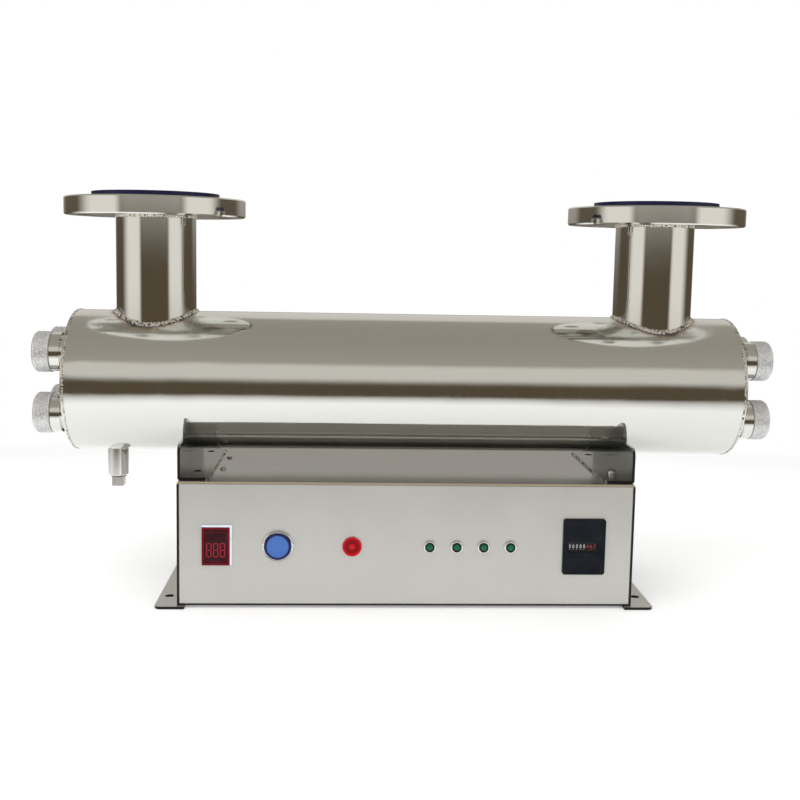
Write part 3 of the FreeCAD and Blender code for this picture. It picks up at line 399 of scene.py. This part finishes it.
DEEP_RED = moulded("deep_red_plastic", srgb(142, 0, 12), 0.3, shine=0.14)
GREEN = moulded("green_lens", srgb(0, 100, 58), 0.22)
COVER = moulded("cover_film", srgb(8, 13, 64), 0.42, grain=0.000006)
CERAMIC = moulded("white_ceramic", srgb(236, 234, 228), 0.55)
ALUMINIUM = turned_metal("ballast_aluminium", srgb(198, 199, 200), 0.34)
QUARTZ = clear("quartz", srgb(244, 250, 252))
ACRYLIC = material("counter_acrylic", srgb(20, 22, 26), 0.0, 0.06, Alpha=0.16)
set_roughness(ACRYLIC, noise(ACRYLIC, 60), 0.04, 0.1)
METER_RED = moulded("meter_red", srgb(108, 2, 16), 0.3, shine=0.12)
METER_DARK = moulded("meter_dark", srgb(48, 0, 12), 0.25, shine=0.12)
SEGMENT = moulded("meter_segment", srgb(146, 16, 34), 0.34)
# Painted highlight for the top and right edges of the meter's seat.
EDGE_PAINTED_HIGHLIGHT = moulded("meter_edge_painted_highlight", srgb(226, 238, 246), 0.2, coat=0.3)
WHEEL_BLACK = moulded("wheel_black", srgb(8, 8, 9), 0.5)
WHEEL_RED = moulded("wheel_red", srgb(46, 12, 20), 0.5)
# Painted light: the counter's printed figures glow faintly, though they are not lit.
DIGIT_WHITE_PAINTED_GLOW = material("digit_white_painted_glow", srgb(232, 232, 236), 0.0, 0.5, Emission_Color=srgb(232, 232, 236),
                       Emission_Strength=0.55)
DIGIT_RED_PAINTED_GLOW = material("digit_red_painted_glow", srgb(190, 70, 80), 0.0, 0.5, Emission_Color=srgb(190, 70, 80),
                     Emission_Strength=0.5)
# Painted shade: the green lenses are darkened towards their sideways-facing rims.
shade_faces(GREEN, rescale(GREEN.node_tree, facing(GREEN.node_tree, "Y"), -0.985, -0.86),
            srgb(0, 26, 16), 0.22)

paint(CHAMBER_STEEL, "chamber_tube")
paint(PORT_STEEL, "port_neck_left", "port_neck_right", "port_flange_left", "port_flange_right",
      "gland_sockets_left", "gland_sockets_right", "drain_socket")
paint(PLATE_STEEL, "end_plate_left", "end_plate_right")
paint(BRACKET_STEEL, "saddle_bracket_left", "saddle_bracket_right")
paint(FOOT_STEEL, "foot_left", "foot_right")
paint(PANEL_STEEL, "front_panel", "back_panel")
paint(LID_STEEL, "box_cover", "box_base")
paint(TURNED, "drain_plug", "sleeve_washers", "counter_axle", "button_spring", "earth_bolt", "lid_screws")
paint(CHROME, "button_bezel", "status_lamp_bezels")
paint(RUBBER, "drain_seal", "lead_grommets", "sleeve_o_rings", "cable_grommets")
paint(BLACK, "button_switch", "terminal_block")
paint(COUNTER_BLACK, "counter_case")
paint(NAVY, "button_ring")
paint(BLUE, "button_cap")
paint(RED, "indicator_bezel")
paint(DEEP_RED, "indicator_lens")
paint(GREEN, "status_lamp_lenses")
paint(COVER, "flange_cover_left", "flange_cover_right")
paint(CERAMIC, "lamp_bases")
paint(ALUMINIUM, "ballasts")
paint(QUARTZ, "quartz_sleeves", "uv_lamps")
paint(ACRYLIC, "counter_window")
paint(METER_RED, "voltmeter_case")
paint(METER_DARK, "voltmeter_window")
paint(WHEEL_BLACK, "counter_wheels_white")
paint(WHEEL_RED, "counter_wheel_red_1", "counter_wheel_red_2", "counter_wheel_red_3")


# ---- mesh helpers


def new_piece(name, points, faces, made, body=HOUSING, smooth=True):
    """A mesh piece that rides on a body and takes the given material."""
    mesh = bpy.data.meshes.new(name)
    mesh.from_pydata([tuple(point) for point in points], [], faces)
    mesh.materials.append(made)
    mesh.update()
    for face in mesh.polygons:
        face.use_smooth = smooth
    return place_piece(name, mesh, body)


def place_piece(name, mesh, body, where=None):
    piece = bpy.data.objects.new(name, mesh)
    bpy.context.scene.collection.objects.link(piece)
    if where is not None:
        piece.matrix_world = where
    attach(piece, body)
    return piece


def ring_faces(rings, around, closed_rings):
    """Quads between rings of points, each ring closed; closed_rings joins the last to the first."""
    faces = []
    for ring in range(rings if closed_rings else rings - 1):
        low = ring * around
        high = (ring + 1) % rings * around
        for step in range(around):
            following = (step + 1) % around
            faces.append((low + step, low + following, high + following, high + step))
    return faces


def sharpen(piece, degrees):
    """Keeps edges steeper than this angle crisp."""
    piece.data.set_sharp_from_angle(angle=math.radians(degrees))


# ---- lathed pieces of the front panel, turned about a line along Y


def lathe(name, profile, centres, made, body=HOUSING, around=64):
    """Turns a profile of (radius, y) pairs, in millimetres, about each centre; y is 0 at the panel's face.

    A profile that starts and ends on the axis makes a solid disc; any other is closed into a ring."""
    points = []
    faces = []
    solid = profile[0][0] == 0
    inner = profile[1:-1] if solid else profile
    for centre in centres:
        start = len(points)
        for radius, along in inner:
            for step in range(around):
                angle = math.tau * step / around
                points.append((centre.x + radius * MM * math.cos(angle), PANEL_FRONT + along * MM,
                               centre.z + radius * MM * math.sin(angle)))
        for face in ring_faces(len(inner), around, not solid):
            faces.append(tuple(start + corner for corner in face))
        if solid:
            for (_, along), first in ((profile[0], start), (profile[-1], start + (len(inner) - 1) * around)):
                points.append((centre.x, PANEL_FRONT + along * MM, centre.z))
                tip = len(points) - 1
                for step in range(around):
                    edge = (first + step, first + (step + 1) % around)
                    faces.append((*(edge if first != start else reversed(edge)), tip))
    piece = new_piece(name, points, faces, made, body)
    sharpen(piece, 35)
    return piece


def power_button():
    centre = [middle("button_cap")]
    bezel = [(14.6, 23.9), (14.6, -1.7), (14.9, -2.0), (15.3, -1.9), (15.6, -1.2), (15.9, -1.2), (15.9, -2.2),
             (16.1, -2.5), (16.4, -2.4), (17.4, -1.2), (17.5, -0.6), (17.5, 0.0), (16.15, 0.0), (16.15, 23.9)]
    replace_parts(lathe("button_bezel_turned", bezel, centre, CHROME), "button_bezel")
    collar = [(12.3, 8.4), (12.3, -1.5), (12.7, -2.0), (13.6, -2.1), (14.3, -1.9), (14.6, -1.4), (14.6, 8.4)]
    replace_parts(lathe("button_ring_turned", collar, centre, NAVY), "button_ring")
    cap = [(0, -3.05), (6.0, -3.08), (10.2, -3.15), (10.7, -3.42), (11.3, -3.5), (11.8, -3.3), (12.0, -2.8),
           (12.0, 9.5), (0, 9.5)]
    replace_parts(lathe("button_cap_turned", cap, centre, BLUE, "button"), "button_cap")


def button_spring():
    """The coil behind the cap, on a mesh of its own."""
    low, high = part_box("button_spring")
    centre = middle("button_spring")
    wire = 0.6 * MM
    radius = (high.x - low.x) / 2 - wire
    turns, per_turn, around = 5, 40, 10
    points = []
    for step in range(turns * per_turn + 1):
        angle = math.tau * step / per_turn
        along = low.y + wire + (high.y - low.y - 2 * wire) * step / (turns * per_turn)
        for corner in range(around):
            turn = math.tau * corner / around
            reach = radius + wire * math.cos(turn)
            points.append((centre.x + reach * math.cos(angle), along + wire * math.sin(turn),
                           centre.z + reach * math.sin(angle)))
    faces = ring_faces(turns * per_turn + 1, around, False)
    faces.append(tuple(range(around)))
    faces.append(tuple(reversed(range(len(points) - around, len(points)))))
    piece = new_piece("button_spring_coil", points, faces, TURNED)
    sharpen(piece, 60)
    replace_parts(piece, "button_spring")
    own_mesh(piece)


def red_indicator():
    centre = [middle("indicator_lens")]
    bezel = [(7.8, 3.0), (7.8, -0.9), (8.3, -1.4), (9.3, -2.3), (9.9, -2.5), (10.4, -2.1), (10.5, -1.2),
             (10.5, 0.0), (8.55, 0.0), (8.55, 3.0)]
    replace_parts(lathe("indicator_bezel_turned", bezel, centre, RED), "indicator_bezel")
    lens = [(0, -2.4), (2.4, -2.25), (3.9, -1.7), (4.1, -1.1), (4.6, -1.1), (4.9, -1.5), (5.5, -1.5),
            (5.8, -1.0), (7.2, -0.6), (7.8, -0.4), (7.8, 3.0), (0, 3.0)]
    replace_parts(lathe("indicator_lens_turned", lens, centre, DEEP_RED), "indicator_lens")
    centre_dot = [(0, -2.62), (1.8, -2.5), (3.2, -2.1), (3.5, -1.7), (3.5, -1.2), (0, -1.2)]
    lathe("indicator_centre", centre_dot, centre, RED)


def status_lamps():
    low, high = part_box("status_lamp_lenses")
    count = 4
    radius = (high.z - low.z) / 2
    pitch = (high.x - low.x - 2 * radius) / (count - 1)
    centres = [Vector((low.x + radius + index * pitch, 0, (low.z + high.z) / 2)) for index in range(count)]
    bezel = [(5.1, 3.0), (5.1, -1.6), (5.3, -2.1), (5.8, -2.4), (6.3, -2.3), (7.0, -1.6), (7.5, -0.7),
             (7.6, 0.0), (5.85, 0.0), (5.85, 3.0)]
    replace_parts(lathe("status_bezels_turned", bezel, centres, CHROME), "status_lamp_bezels")
    dome = [(0, -3.1)]
    for degrees in (15, 30, 45, 60, 75, 90):
        angle = math.radians(degrees)
        dome.append((5.05 * math.sin(angle), -0.7 - 2.4 * math.cos(angle)))
    dome += [(5.05, 3.0), (0, 3.0)]
    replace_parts(lathe("status_lenses_turned", dome, centres, GREEN), "status_lamp_lenses")


def screw_heads(name, node, spots, seat):
    """Domed heads turned about upright lines, each with a small recess and tapering to the node's foot."""
    low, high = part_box(node)
    x = (low.x + high.x) / 2
    radius = (high.x - low.x) / 2
    tall = high.z - seat
    rings = [(0.5, 0.97), (0.8, 0.82), (0.95, 0.55), (1.0, 0.2), (1.0, 0.0), (0.5, 0.0)]
    recess_height = 0.8
    around = 40
    points = []
    faces = []
    for y in spots:
        start = len(points)
        for share, rise in rings:
            for step in range(around):
                angle = math.tau * step / around
                points.append((x + radius * share * math.cos(angle), y + radius * share * math.sin(angle),
                               seat + tall * rise))
        faces += [tuple(start + corner for corner in face) for face in ring_faces(len(rings), around, False)]
        recess = len(points)
        points.append((x, y, seat + tall * recess_height))
        faces += [(start + (step + 1) % around, start + step, recess) for step in range(around)]
        last = start + (len(rings) - 1) * around
        tip = len(points)
        points.append((x, y, low.z))
        faces += [(last + step, last + (step + 1) % around, tip) for step in range(around)]
    piece = new_piece(name, points, faces, TURNED)
    sharpen(piece, 40)
    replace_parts(piece, node)


def box_screws():
    """The two lid screws, and the earth bolt on the right bracket's foot."""
    low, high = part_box("lid_screws")
    radius = (high.x - low.x) / 2
    screw_heads("lid_screw_heads", "lid_screws", [low.y + radius, high.y - radius], BOX_TOP)
    foot_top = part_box("saddle_bracket_right")[0].z + BRACKET_SHEET
    screw_heads("earth_bolt_head", "earth_bolt", [middle("earth_bolt").y], foot_top)


# ---- knurled lamp nuts


def nut_mesh():
    """One nut along X from its inner face: diamond knurl round the rim, a rounded end and a lead hole."""
    low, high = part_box("lamp_nut_right_1")
    length = (high.x - low.x) / MM
    radius = (high.z - low.z) / 2 / MM
    thread = 17.06
    hole = 8.0
    wall = 6.5
    rounding = 4.5
    depth = 0.75
    diamonds = 44
    around = diamonds * 4
    rows = 20
    plain = [(0.0, thread), (0.0, radius - 1.0), (0.5, radius - 0.3)]
    start, stop = 0.9, length - rounding
    knurl = [(start + (stop - start) * row / rows, radius) for row in range(rows + 1)]
    corner = []
    for step in range(1, 7):
        angle = math.radians(15 * step)
        corner.append((length - rounding + rounding * math.sin(angle),
                       radius - rounding + rounding * math.cos(angle)))
    bore = [(length, hole + 0.5), (length - 0.5, hole), (length - wall, hole), (length - wall, thread)]
    profile = plain + knurl + corner + bore
    pitch = math.tau * radius / diamonds
    points = []
    for along, reach in profile:
        for step in range(around):
            angle = math.tau * step / around
            cut = 0.0
            if (along, reach) in knurl[1:-1]:
                turn = angle * diamonds / 2
                slant = math.pi * along / pitch
                cut = depth * (1 - abs(math.sin(turn + slant))) ** 2
                cut = max(cut, depth * (1 - abs(math.sin(turn - slant))) ** 2)
            distance = (reach - cut) * MM
            points.append((along * MM, distance * math.cos(angle), distance * math.sin(angle)))
    mesh = bpy.data.meshes.new("lamp_nut")
    mesh.from_pydata(points, [], ring_faces(len(profile), around, True))
    mesh.materials.append(KNURLED)
    for face in mesh.polygons:
        face.use_smooth = True
    mesh.set_sharp_from_angle(angle=math.radians(50))
    return mesh


def lamp_nuts():
    mesh = nut_mesh()
    for end in ("left", "right"):
        for number in range(1, 5):
            node = f"lamp_nut_{end}_{number}"
            low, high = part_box(node)
            centre = (low + high) / 2
            start = Vector((low.x if end == "right" else high.x, centre.y, centre.z))
            turn = Matrix.Rotation(math.pi if end == "left" else 0.0, 4, "Z")
            piece = place_piece(f"knurled_nut_{end}_{number}", mesh, f"nut_{end}_{number}",
                                Matrix.Translation(start) @ turn)
            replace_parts(piece, node)


# ---- weld beads


def bead_strip(path, outward, radius, pitch, closed=True):
    """Points and faces of a rippled bead along a path; outward gives the bead's up direction at a point."""
    count = len(path)
    around = 8
    length = sum((path[(n + 1) % count] - path[n]).length for n in range(count if closed else count - 1))
    ripples = max(2, round(length / pitch))
    points = []
    for n in range(count):
        before = path[n - 1] if closed or n else path[n]
        after = path[(n + 1) % count] if closed or n < count - 1 else path[n]
        tangent = (after - before).normalized()
        up = outward(path[n])
        up = (up - tangent * up.dot(tangent)).normalized()
        side = tangent.cross(up)
        share = n / count
        ripple = abs(math.sin(math.pi * ripples * share))
        drift = 0.06 * math.sin(37 * share) + 0.05 * math.sin(91 * share + 1.3)
        size = radius * (0.5 + 0.5 * ripple + drift)
        if not closed:
            size *= math.sin(math.pi * (n + 0.5) / count) ** 0.4
        for step in range(around):
            angle = math.tau * step / around
            points.append(path[n] + up * (0.7 * size * math.cos(angle)) + side * (size * math.sin(angle)))
    faces = ring_faces(count, around, closed)
    if not closed:
        faces.append(tuple(reversed(range(around))))
        faces.append(tuple(range((count - 1) * around, count * around)))
    return points, faces


def bead_piece(name, strips):
    """All the beads of one kind as a single piece."""
    points = []
    faces = []
    for strip_points, strip_faces in strips:
        start = len(points)
        points += strip_points
        faces += [tuple(start + corner for corner in face) for face in strip_faces]
    return new_piece(name, points, faces, WELD)


def circle(centre, radius, first, second, count):
    """A circle of points about a centre in the plane of two unit directions."""
    turns = [math.tau * n / count for n in range(count)]
    return [centre + first * (radius * math.cos(turn)) + second * (radius * math.sin(turn)) for turn in turns]


def saddle(x, radius, side, count):
    """Where an upright pipe of this radius meets the chamber; side is 1 above and -1 below."""
    path = []
    for n in range(count):
        turn = math.tau * n / count
        y = radius * math.sin(turn)
        z = AXIS_Z + side * math.sqrt(CHAMBER_RADIUS ** 2 - y ** 2)
        path.append(Vector((x + radius * math.cos(turn), y, z)))
    return path


def away_from(x, side):
    """Outward between the chamber's wall and an upright pipe at x."""
    def outward(point):
        from_axis = Vector((0, point.y, point.z - AXIS_Z)).normalized()
        from_pipe = Vector((point.x - x, point.y, 0)).normalized()
        return from_axis + from_pipe
    return outward


def port_welds():
    x_axis, y_axis = Vector((1, 0, 0)), Vector((0, 1, 0))
    saddles = []
    collars = []
    for end in ("left", "right"):
        x = middle(f"port_neck_{end}").x
        saddles.append(bead_strip(saddle(x, NECK_RADIUS, 1, 520), away_from(x, 1), 3.8 * MM, 4.2 * MM))
        rim = circle(Vector((x, 0, NECK_TOP)), NECK_RADIUS, x_axis, y_axis, 420)
        collars.append(bead_strip(rim, lambda point, x=x: Vector((point.x - x, point.y, -NECK_RADIUS)),
                                  2.6 * MM, 3.4 * MM))
    bead_piece("port_saddle_welds", saddles)
    bead_piece("flange_welds", collars)


def gland_welds():
    """A thin bead round each lamp gland, round the drain socket and along each end plate's seam."""
    y_axis, z_axis = Vector((0, 1, 0)), Vector((0, 0, 1))
    strips = []
    gland_radius = 18 * MM
    for end, side in (("left", -1), ("right", 1)):
        for number in range(1, 5):
            nut = middle(f"lamp_nut_{end}_{number}")
            centre = Vector((side * END_FACE, nut.y, nut.z))
            strips.append(bead_strip(
                circle(centre, gland_radius, y_axis, z_axis, 160),
                lambda point, centre=centre, side=side: point - centre + Vector((side * gland_radius, 0, 0)),
                1.5 * MM, 2.4 * MM))
    socket = middle("drain_socket").x
    radius = extent("drain_socket").x / 2
    strips.append(bead_strip(saddle(socket, radius, -1, 140), away_from(socket, -1), 1.5 * MM, 2.4 * MM))
    seam = END_FACE - 3 * MM
    for x in (-seam, seam):
        strips.append(bead_strip(
            circle(Vector((x, 0, AXIS_Z)), CHAMBER_RADIUS - 0.3 * MM, y_axis, z_axis, 480),
            lambda point: Vector((0, point.y, point.z - AXIS_Z)), 1.5 * MM, 2.6 * MM))
    bead_piece("small_welds", strips)


def bracket_welds():
    """Short tack welds: along each saddle, and at the inner edge of each bracket's flange."""
    strips = []
    for end, side in (("left", -1), ("right", 1)):
        low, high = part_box(f"saddle_bracket_{end}")
        outer = high.x if side > 0 else low.x
        inner = low.x if side > 0 else high.x
        for degrees in (-38, -14, 14, 38):
            path = []
            for n in range(14):
                turn = math.radians(degrees - 5 + 10 * n / 13)
                path.append(Vector((outer, CHAMBER_RADIUS * math.sin(turn),
                                    AXIS_Z - CHAMBER_RADIUS * math.cos(turn))))
            strips.append(bead_strip(path, lambda point, side=side: Vector((side, 0, 0.4)),
                                     2.0 * MM, 2.4 * MM, closed=False))
        for y in (-62, -20, 24, 60):
            path = [Vector((inner, y * MM + (n - 6) * MM, low.z + 0.6 * MM)) for n in range(13)]
            strips.append(bead_strip(path, lambda point, side=side: Vector((-side, 0, 1)),
                                     1.8 * MM, 2.2 * MM, closed=False))
    bead_piece("bracket_tack_welds", strips)


# ---- voltmeter and hour counter


def flat_bars(name, bars, y, thick, made):
    """Thin bars lying on a plane y, each given by its corners as (x, z) pairs in millimetres."""
    points = []
    faces = []
    for bar in bars:
        count = len(bar)
        start = len(points)
        for depth in (y, y + thick):
            points += [(x * MM, depth, z * MM) for x, z in bar]
        faces.append(tuple(start + n for n in range(count)))
        faces.append(tuple(start + count + n for n in reversed(range(count))))
        for n in range(count):
            following = (n + 1) % count
            faces.append((start + n, start + count + n, start + count + following, start + following))
    return new_piece(name, points, faces, made, smooth=False)


def rectangle(x0, z0, x1, z1):
    """A bar's corners from two opposite ones."""
    return [(x0, z0), (x1, z0), (x1, z1), (x0, z1)]


def border(x0, z0, x1, z1, rim):
    """Four bars round the inside of a rectangle: floor, top, left and right."""
    return [
        rectangle(x0, z0, x1, z0 + rim),
        rectangle(x0, z1 - rim, x1, z1),
        rectangle(x0, z0 + rim, x0 + rim, z1 - rim),
        rectangle(x1 - rim, z0 + rim, x1, z1 - rim),
    ]


def segment(x, z, length, width, upright):
    """A display bar with pointed ends, from its centre."""
    half, side = length / 2, width / 2
    outline = [(-half, 0), (-half + side, side), (half - side, side), (half, 0), (half - side, -side),
               (-half + side, -side)]
    if upright:
        return [(x + across, z + along) for along, across in outline]
    return [(x + along, z + across) for along, across in reversed(outline)]


def voltmeter_display():
    """Three unlit seven-segment figures, an inner frame and a painted highlight: a bright strip along the top
    and right of the meter's seat.
    """
    low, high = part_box("voltmeter_window")
    case_low, case_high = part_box("voltmeter_case")
    window_front = low.y
    centre_x = (low.x + high.x) / 2 / MM
    centre_z = (low.z + high.z) / 2 / MM - 4.2
    wide = 4.6
    tall = 7.4
    width = 1.15
    pitch = 7.3
    bars = []
    for index in range(3):
        x = centre_x + (index - 1) * pitch
        for level in (-1, 0, 1):
            bars.append(segment(x, centre_z + level * tall, wide - 0.3, width, False))
        for side in (-1, 1):
            for level in (-0.5, 0.5):
                bars.append(segment(x + side * wide / 2, centre_z + level * tall, tall - 0.4, width, True))
    flat_bars("meter_segments", bars, window_front - 0.06 * MM, 0.05 * MM, SEGMENT)
    left, right = low.x / MM + 1.6, high.x / MM - 1.6
    floor, top = low.z / MM + 1.8, high.z / MM - 2.6
    frame_bars = border(left, floor, right, top, 0.55)
    flat_bars("meter_inner_frame", frame_bars, window_front - 0.05 * MM, 0.04 * MM, METER_RED)
    # Painted highlight: a bright strip along the top and right of the meter's seat.
    edge = 2.2
    x0, x1 = case_low.x / MM, case_high.x / MM
    z0, z1 = case_low.z / MM, case_high.z / MM
    highlight_bars = [
        rectangle(x0, z1, x1 + edge, z1 + edge),
        rectangle(x1, z0, x1 + edge, z1),
    ]
    flat_bars("meter_painted_highlight_edge", highlight_bars, BEZEL_FRONT + 0.6 * MM, PANEL_FRONT - BEZEL_FRONT - 0.6 * MM,
              EDGE_PAINTED_HIGHLIGHT)


def digit_outline(text, size):
    """A figure as flat mesh corners and faces, centred on the origin, of this height in metres."""
    curve = bpy.data.curves.new("figure", "FONT")
    curve.body = text
    curve.align_x = "CENTER"
    curve.align_y = "CENTER"
    curve.resolution_u = 3
    holder = bpy.data.objects.new("figure", curve)
    bpy.context.scene.collection.objects.link(holder)
    mesh = bpy.data.meshes.new_from_object(holder.evaluated_get(bpy.context.evaluated_depsgraph_get()))
    corners = [Vector(vertex.co) for vertex in mesh.vertices]
    faces = [tuple(face.vertices) for face in mesh.polygons]
    bpy.data.objects.remove(holder)
    bpy.data.curves.remove(curve)
    bpy.data.meshes.remove(mesh)
    left, right = min(c.x for c in corners), max(c.x for c in corners)
    floor, top = min(c.y for c in corners), max(c.y for c in corners)
    scale = size / (top - floor)
    shift = Vector(((left + right) / 2, (floor + top) / 2, 0))
    return [(corner - shift) * scale for corner in corners], faces


def counter_figures():
    """Figures 0 to 9 wrapped round every wheel, a little proud of it."""
    figures = [digit_outline(str(number), 4.6 * MM) for number in range(10)]
    reading = (0, 0, 0, 0, 0, 4, 6, 2)
    reds = [middle(f"counter_wheel_red_{number}") for number in (1, 2, 3)]
    pitch = reds[1].x - reds[0].x
    whole_wheels = 5
    narrowing = 0.62
    bodies = ["wheels_whole_hours"] * whole_wheels + ["wheel_tenths", "wheel_hundredths", "wheel_thousandths"]
    radius = extent("counter_wheel_red_1").z / 2 + 0.06 * MM
    for body in dict.fromkeys(bodies):
        points = []
        faces = []
        for index in (n for n, name in enumerate(bodies) if name == body):
            x = reds[0].x + (index - whole_wheels) * pitch
            for number, (corners, figure_faces) in enumerate(figures):
                start = len(points)
                for corner in corners:
                    angle = (number - reading[index]) * math.tau / 10 + corner.y / radius
                    points.append((x + corner.x * narrowing, reds[0].y - radius * math.cos(angle),
                                   reds[0].z + radius * math.sin(angle)))
                faces += [tuple(start + corner for corner in face) for face in figure_faces]
        whole = body == "wheels_whole_hours"
        # The figures take the faintly glowing materials: painted light.
        piece = new_piece(f"figures_{body}", points, faces, DIGIT_WHITE_PAINTED_GLOW if whole else DIGIT_RED_PAINTED_GLOW,
                          body)
        solid = piece.modifiers.new("thickness", "SOLIDIFY")
        solid.thickness = 0.12 * MM
        solid.offset = 0.0


def counter_mask():
    """A dark plate behind the counter's window that leaves only the middle row of figures in view."""
    low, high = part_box("counter_window")
    x0, x1 = low.x / MM + 0.1, high.x / MM - 0.1
    z0, z1 = low.z / MM + 0.1, high.z / MM - 0.1
    centre = (z0 + z1) / 2
    slot_half = 3.3
    side = 0.4
    bars = [
        rectangle(x0, z0, x1, centre - slot_half),
        rectangle(x0, centre + slot_half, x1, z1),
        rectangle(x0, centre - slot_half, x0 + side, centre + slot_half),
        rectangle(x1 - side, centre - slot_half, x1, centre + slot_half),
    ]
    flat_bars("counter_mask", bars, high.y + 0.1 * MM, 0.5 * MM, BLACK)


power_button()
button_spring()
red_indicator()
status_lamps()
box_screws()
lamp_nuts()
port_welds()
gland_welds()
bracket_welds()
voltmeter_display()
counter_figures()
counter_mask()


# ---- studio


PANEL_LIGHT = (1.0, 0.96, 0.9, 1.0)


def studio_floor():
    """One plain pale table whose rim fades into the white backdrop."""
    half_depth, half_width = 0.95, 1.6
    around = 96
    points = [(0.0, 0.0, -0.0002)]
    for n in range(around):
        turn = math.tau * n / around
        points.append((half_width * math.cos(turn), half_depth * math.sin(turn), -0.0002))
    faces = [(0, n + 1, (n + 1) % around + 1) for n in range(around)]
    mesh = bpy.data.meshes.new("floor")
    mesh.from_pydata(points, [], faces)
    made = material("pale_floor", (0.9, 0.9, 0.9, 1.0), 0.0, 0.9, Emission_Color=(1.0, 1.0, 1.0, 1.0),
                    Emission_Strength=0.2)
    tree = made.node_tree
    place = tree.nodes.new("ShaderNodeTexCoord")
    squeeze = tree.nodes.new("ShaderNodeMapping")
    squeeze.inputs["Scale"].default_value = (1 / half_width, 1 / half_depth, 1)
    tree.links.new(place.outputs["Object"], squeeze.inputs["Vector"])
    length = tree.nodes.new("ShaderNodeVectorMath")
    length.operation = "LENGTH"
    tree.links.new(squeeze.outputs["Vector"], length.inputs[0])
    tree.links.new(rescale(tree, length.outputs["Value"], 1.0, 0.5), shader_of(made).inputs["Alpha"])
    mesh.materials.append(made)
    floor = bpy.data.objects.new("floor", mesh)
    bpy.context.scene.collection.objects.link(floor)


def soft_panel(name, centre, across, up, glow):
    """A studio panel with soft edges that shows only in shiny surfaces; across and up are half sizes."""
    centre, across, up = Vector(centre), Vector(across), Vector(up)
    corners = [centre - across - up, centre + across - up, centre + across + up, centre - across + up]
    mesh = bpy.data.meshes.new(name)
    mesh.from_pydata([tuple(corner) for corner in corners], [], [(0, 1, 2, 3)])
    made = material(name, (0.0, 0.0, 0.0, 1.0), 0.0, 1.0, Emission_Color=PANEL_LIGHT,
                    Emission_Strength=glow)
    tree = made.node_tree
    fade = None
    for axis, low, high in zip("XYZ", corners[0], corners[2]):
        if abs(high - low) < 0.001:
            continue
        place = coordinate(tree, axis, "Generated")
        off_centre = calculate(tree, "ABSOLUTE", calculate(tree, "SUBTRACT", place, 0.5))
        edge = rescale(tree, off_centre, 0.5, 0.2, kind="SMOOTHSTEP")
        fade = edge if fade is None else calculate(tree, "MULTIPLY", fade, edge)
    tree.links.new(fade, shader_of(made).inputs["Alpha"])
    mesh.materials.append(made)
    panel = bpy.data.objects.new(name, mesh)
    bpy.context.scene.collection.objects.link(panel)
    panel.visible_camera = False
    panel.visible_diffuse = False
    panel.visible_shadow = False


def studio_world():
    """White backdrop and soft white light; shiny surfaces see a dim warm surround."""
    world = bpy.data.worlds.new("studio")
    bpy.context.scene.world = world
    world.use_nodes = True
    tree = world.node_tree
    surround = ramp(tree, rescale(tree, coordinate(tree, "Z", "Generated"), 0.0, 1.0), [
        (0.0, srgb(90, 80, 65)),
        (0.5, srgb(175, 170, 160)),
        (1.0, srgb(160, 155, 145)),
    ])
    rays = tree.nodes.new("ShaderNodeLightPath")
    plain = calculate(tree, "MAXIMUM", rays.outputs["Is Camera Ray"], rays.outputs["Is Diffuse Ray"])
    color = mix(tree, plain, surround, (1.0, 1.0, 1.0, 1.0))
    tree.links.new(color, tree.nodes["Background"].inputs["Color"])


def softbox(name, place, aim, size, power):
    """A large soft light that polished metal doesn't mirror."""
    data = bpy.data.lights.new(name, "AREA")
    data.shape = "DISK"
    data.size = size
    data.energy = power
    light = bpy.data.objects.new(name, data)
    bpy.context.scene.collection.objects.link(light)
    light.location = place
    light.rotation_mode = "QUATERNION"
    light.rotation_quaternion = (Vector(aim) - Vector(place)).to_track_quat("-Z", "Y")
    light.visible_glossy = False
    light.visible_camera = False


def studio_camera():
    """In front, a little left of the middle, level with the port necks and looking slightly down."""
    yaw, pitch, roll = math.radians(2.889), math.radians(6.274), math.radians(1.072)
    forward = Vector((math.sin(yaw) * math.cos(pitch), math.cos(yaw) * math.cos(pitch), -math.sin(pitch)))
    right = forward.cross(Vector((0, 0, 1))).normalized()
    up = right.cross(forward)
    rolled_right = right * math.cos(roll) + up * math.sin(roll)
    rolled_up = up * math.cos(roll) - right * math.sin(roll)
    data = bpy.data.cameras.new("camera")
    data.sensor_width = 36
    data.lens = 47.06
    data.shift_y = -0.0423
    camera = bpy.data.objects.new("camera", data)
    bpy.context.scene.collection.objects.link(camera)
    turn = Matrix((rolled_right, rolled_up, -forward)).transposed().to_4x4()
    camera.matrix_world = Matrix.Translation((-0.0677, -1.2066, 0.3888)) @ turn
    bpy.context.scene.camera = camera


studio_floor()
soft_panel("front_light", (0, -2.4, 1.2), (3.0, 0, 0), (0, 0, 0.9), 0.7)
soft_panel("left_light", (-2.0, -1.2, 0.8), (0, 1.6, 0), (0, 0, 1.2), 0.9)
soft_panel("right_light", (2.0, -1.2, 0.8), (0, 1.6, 0), (0, 0, 1.2), 0.9)
soft_panel("back_light", (0, 2.2, 1.7), (2.6, 0, 0), (0, 0, 1.6), 0.7)
studio_world()
softbox("key_light", (-0.7, -1.0, 1.7), (0, 0, 0.2), 1.2, 9)
studio_camera()
bpy.context.scene.view_settings.view_transform = "Standard"
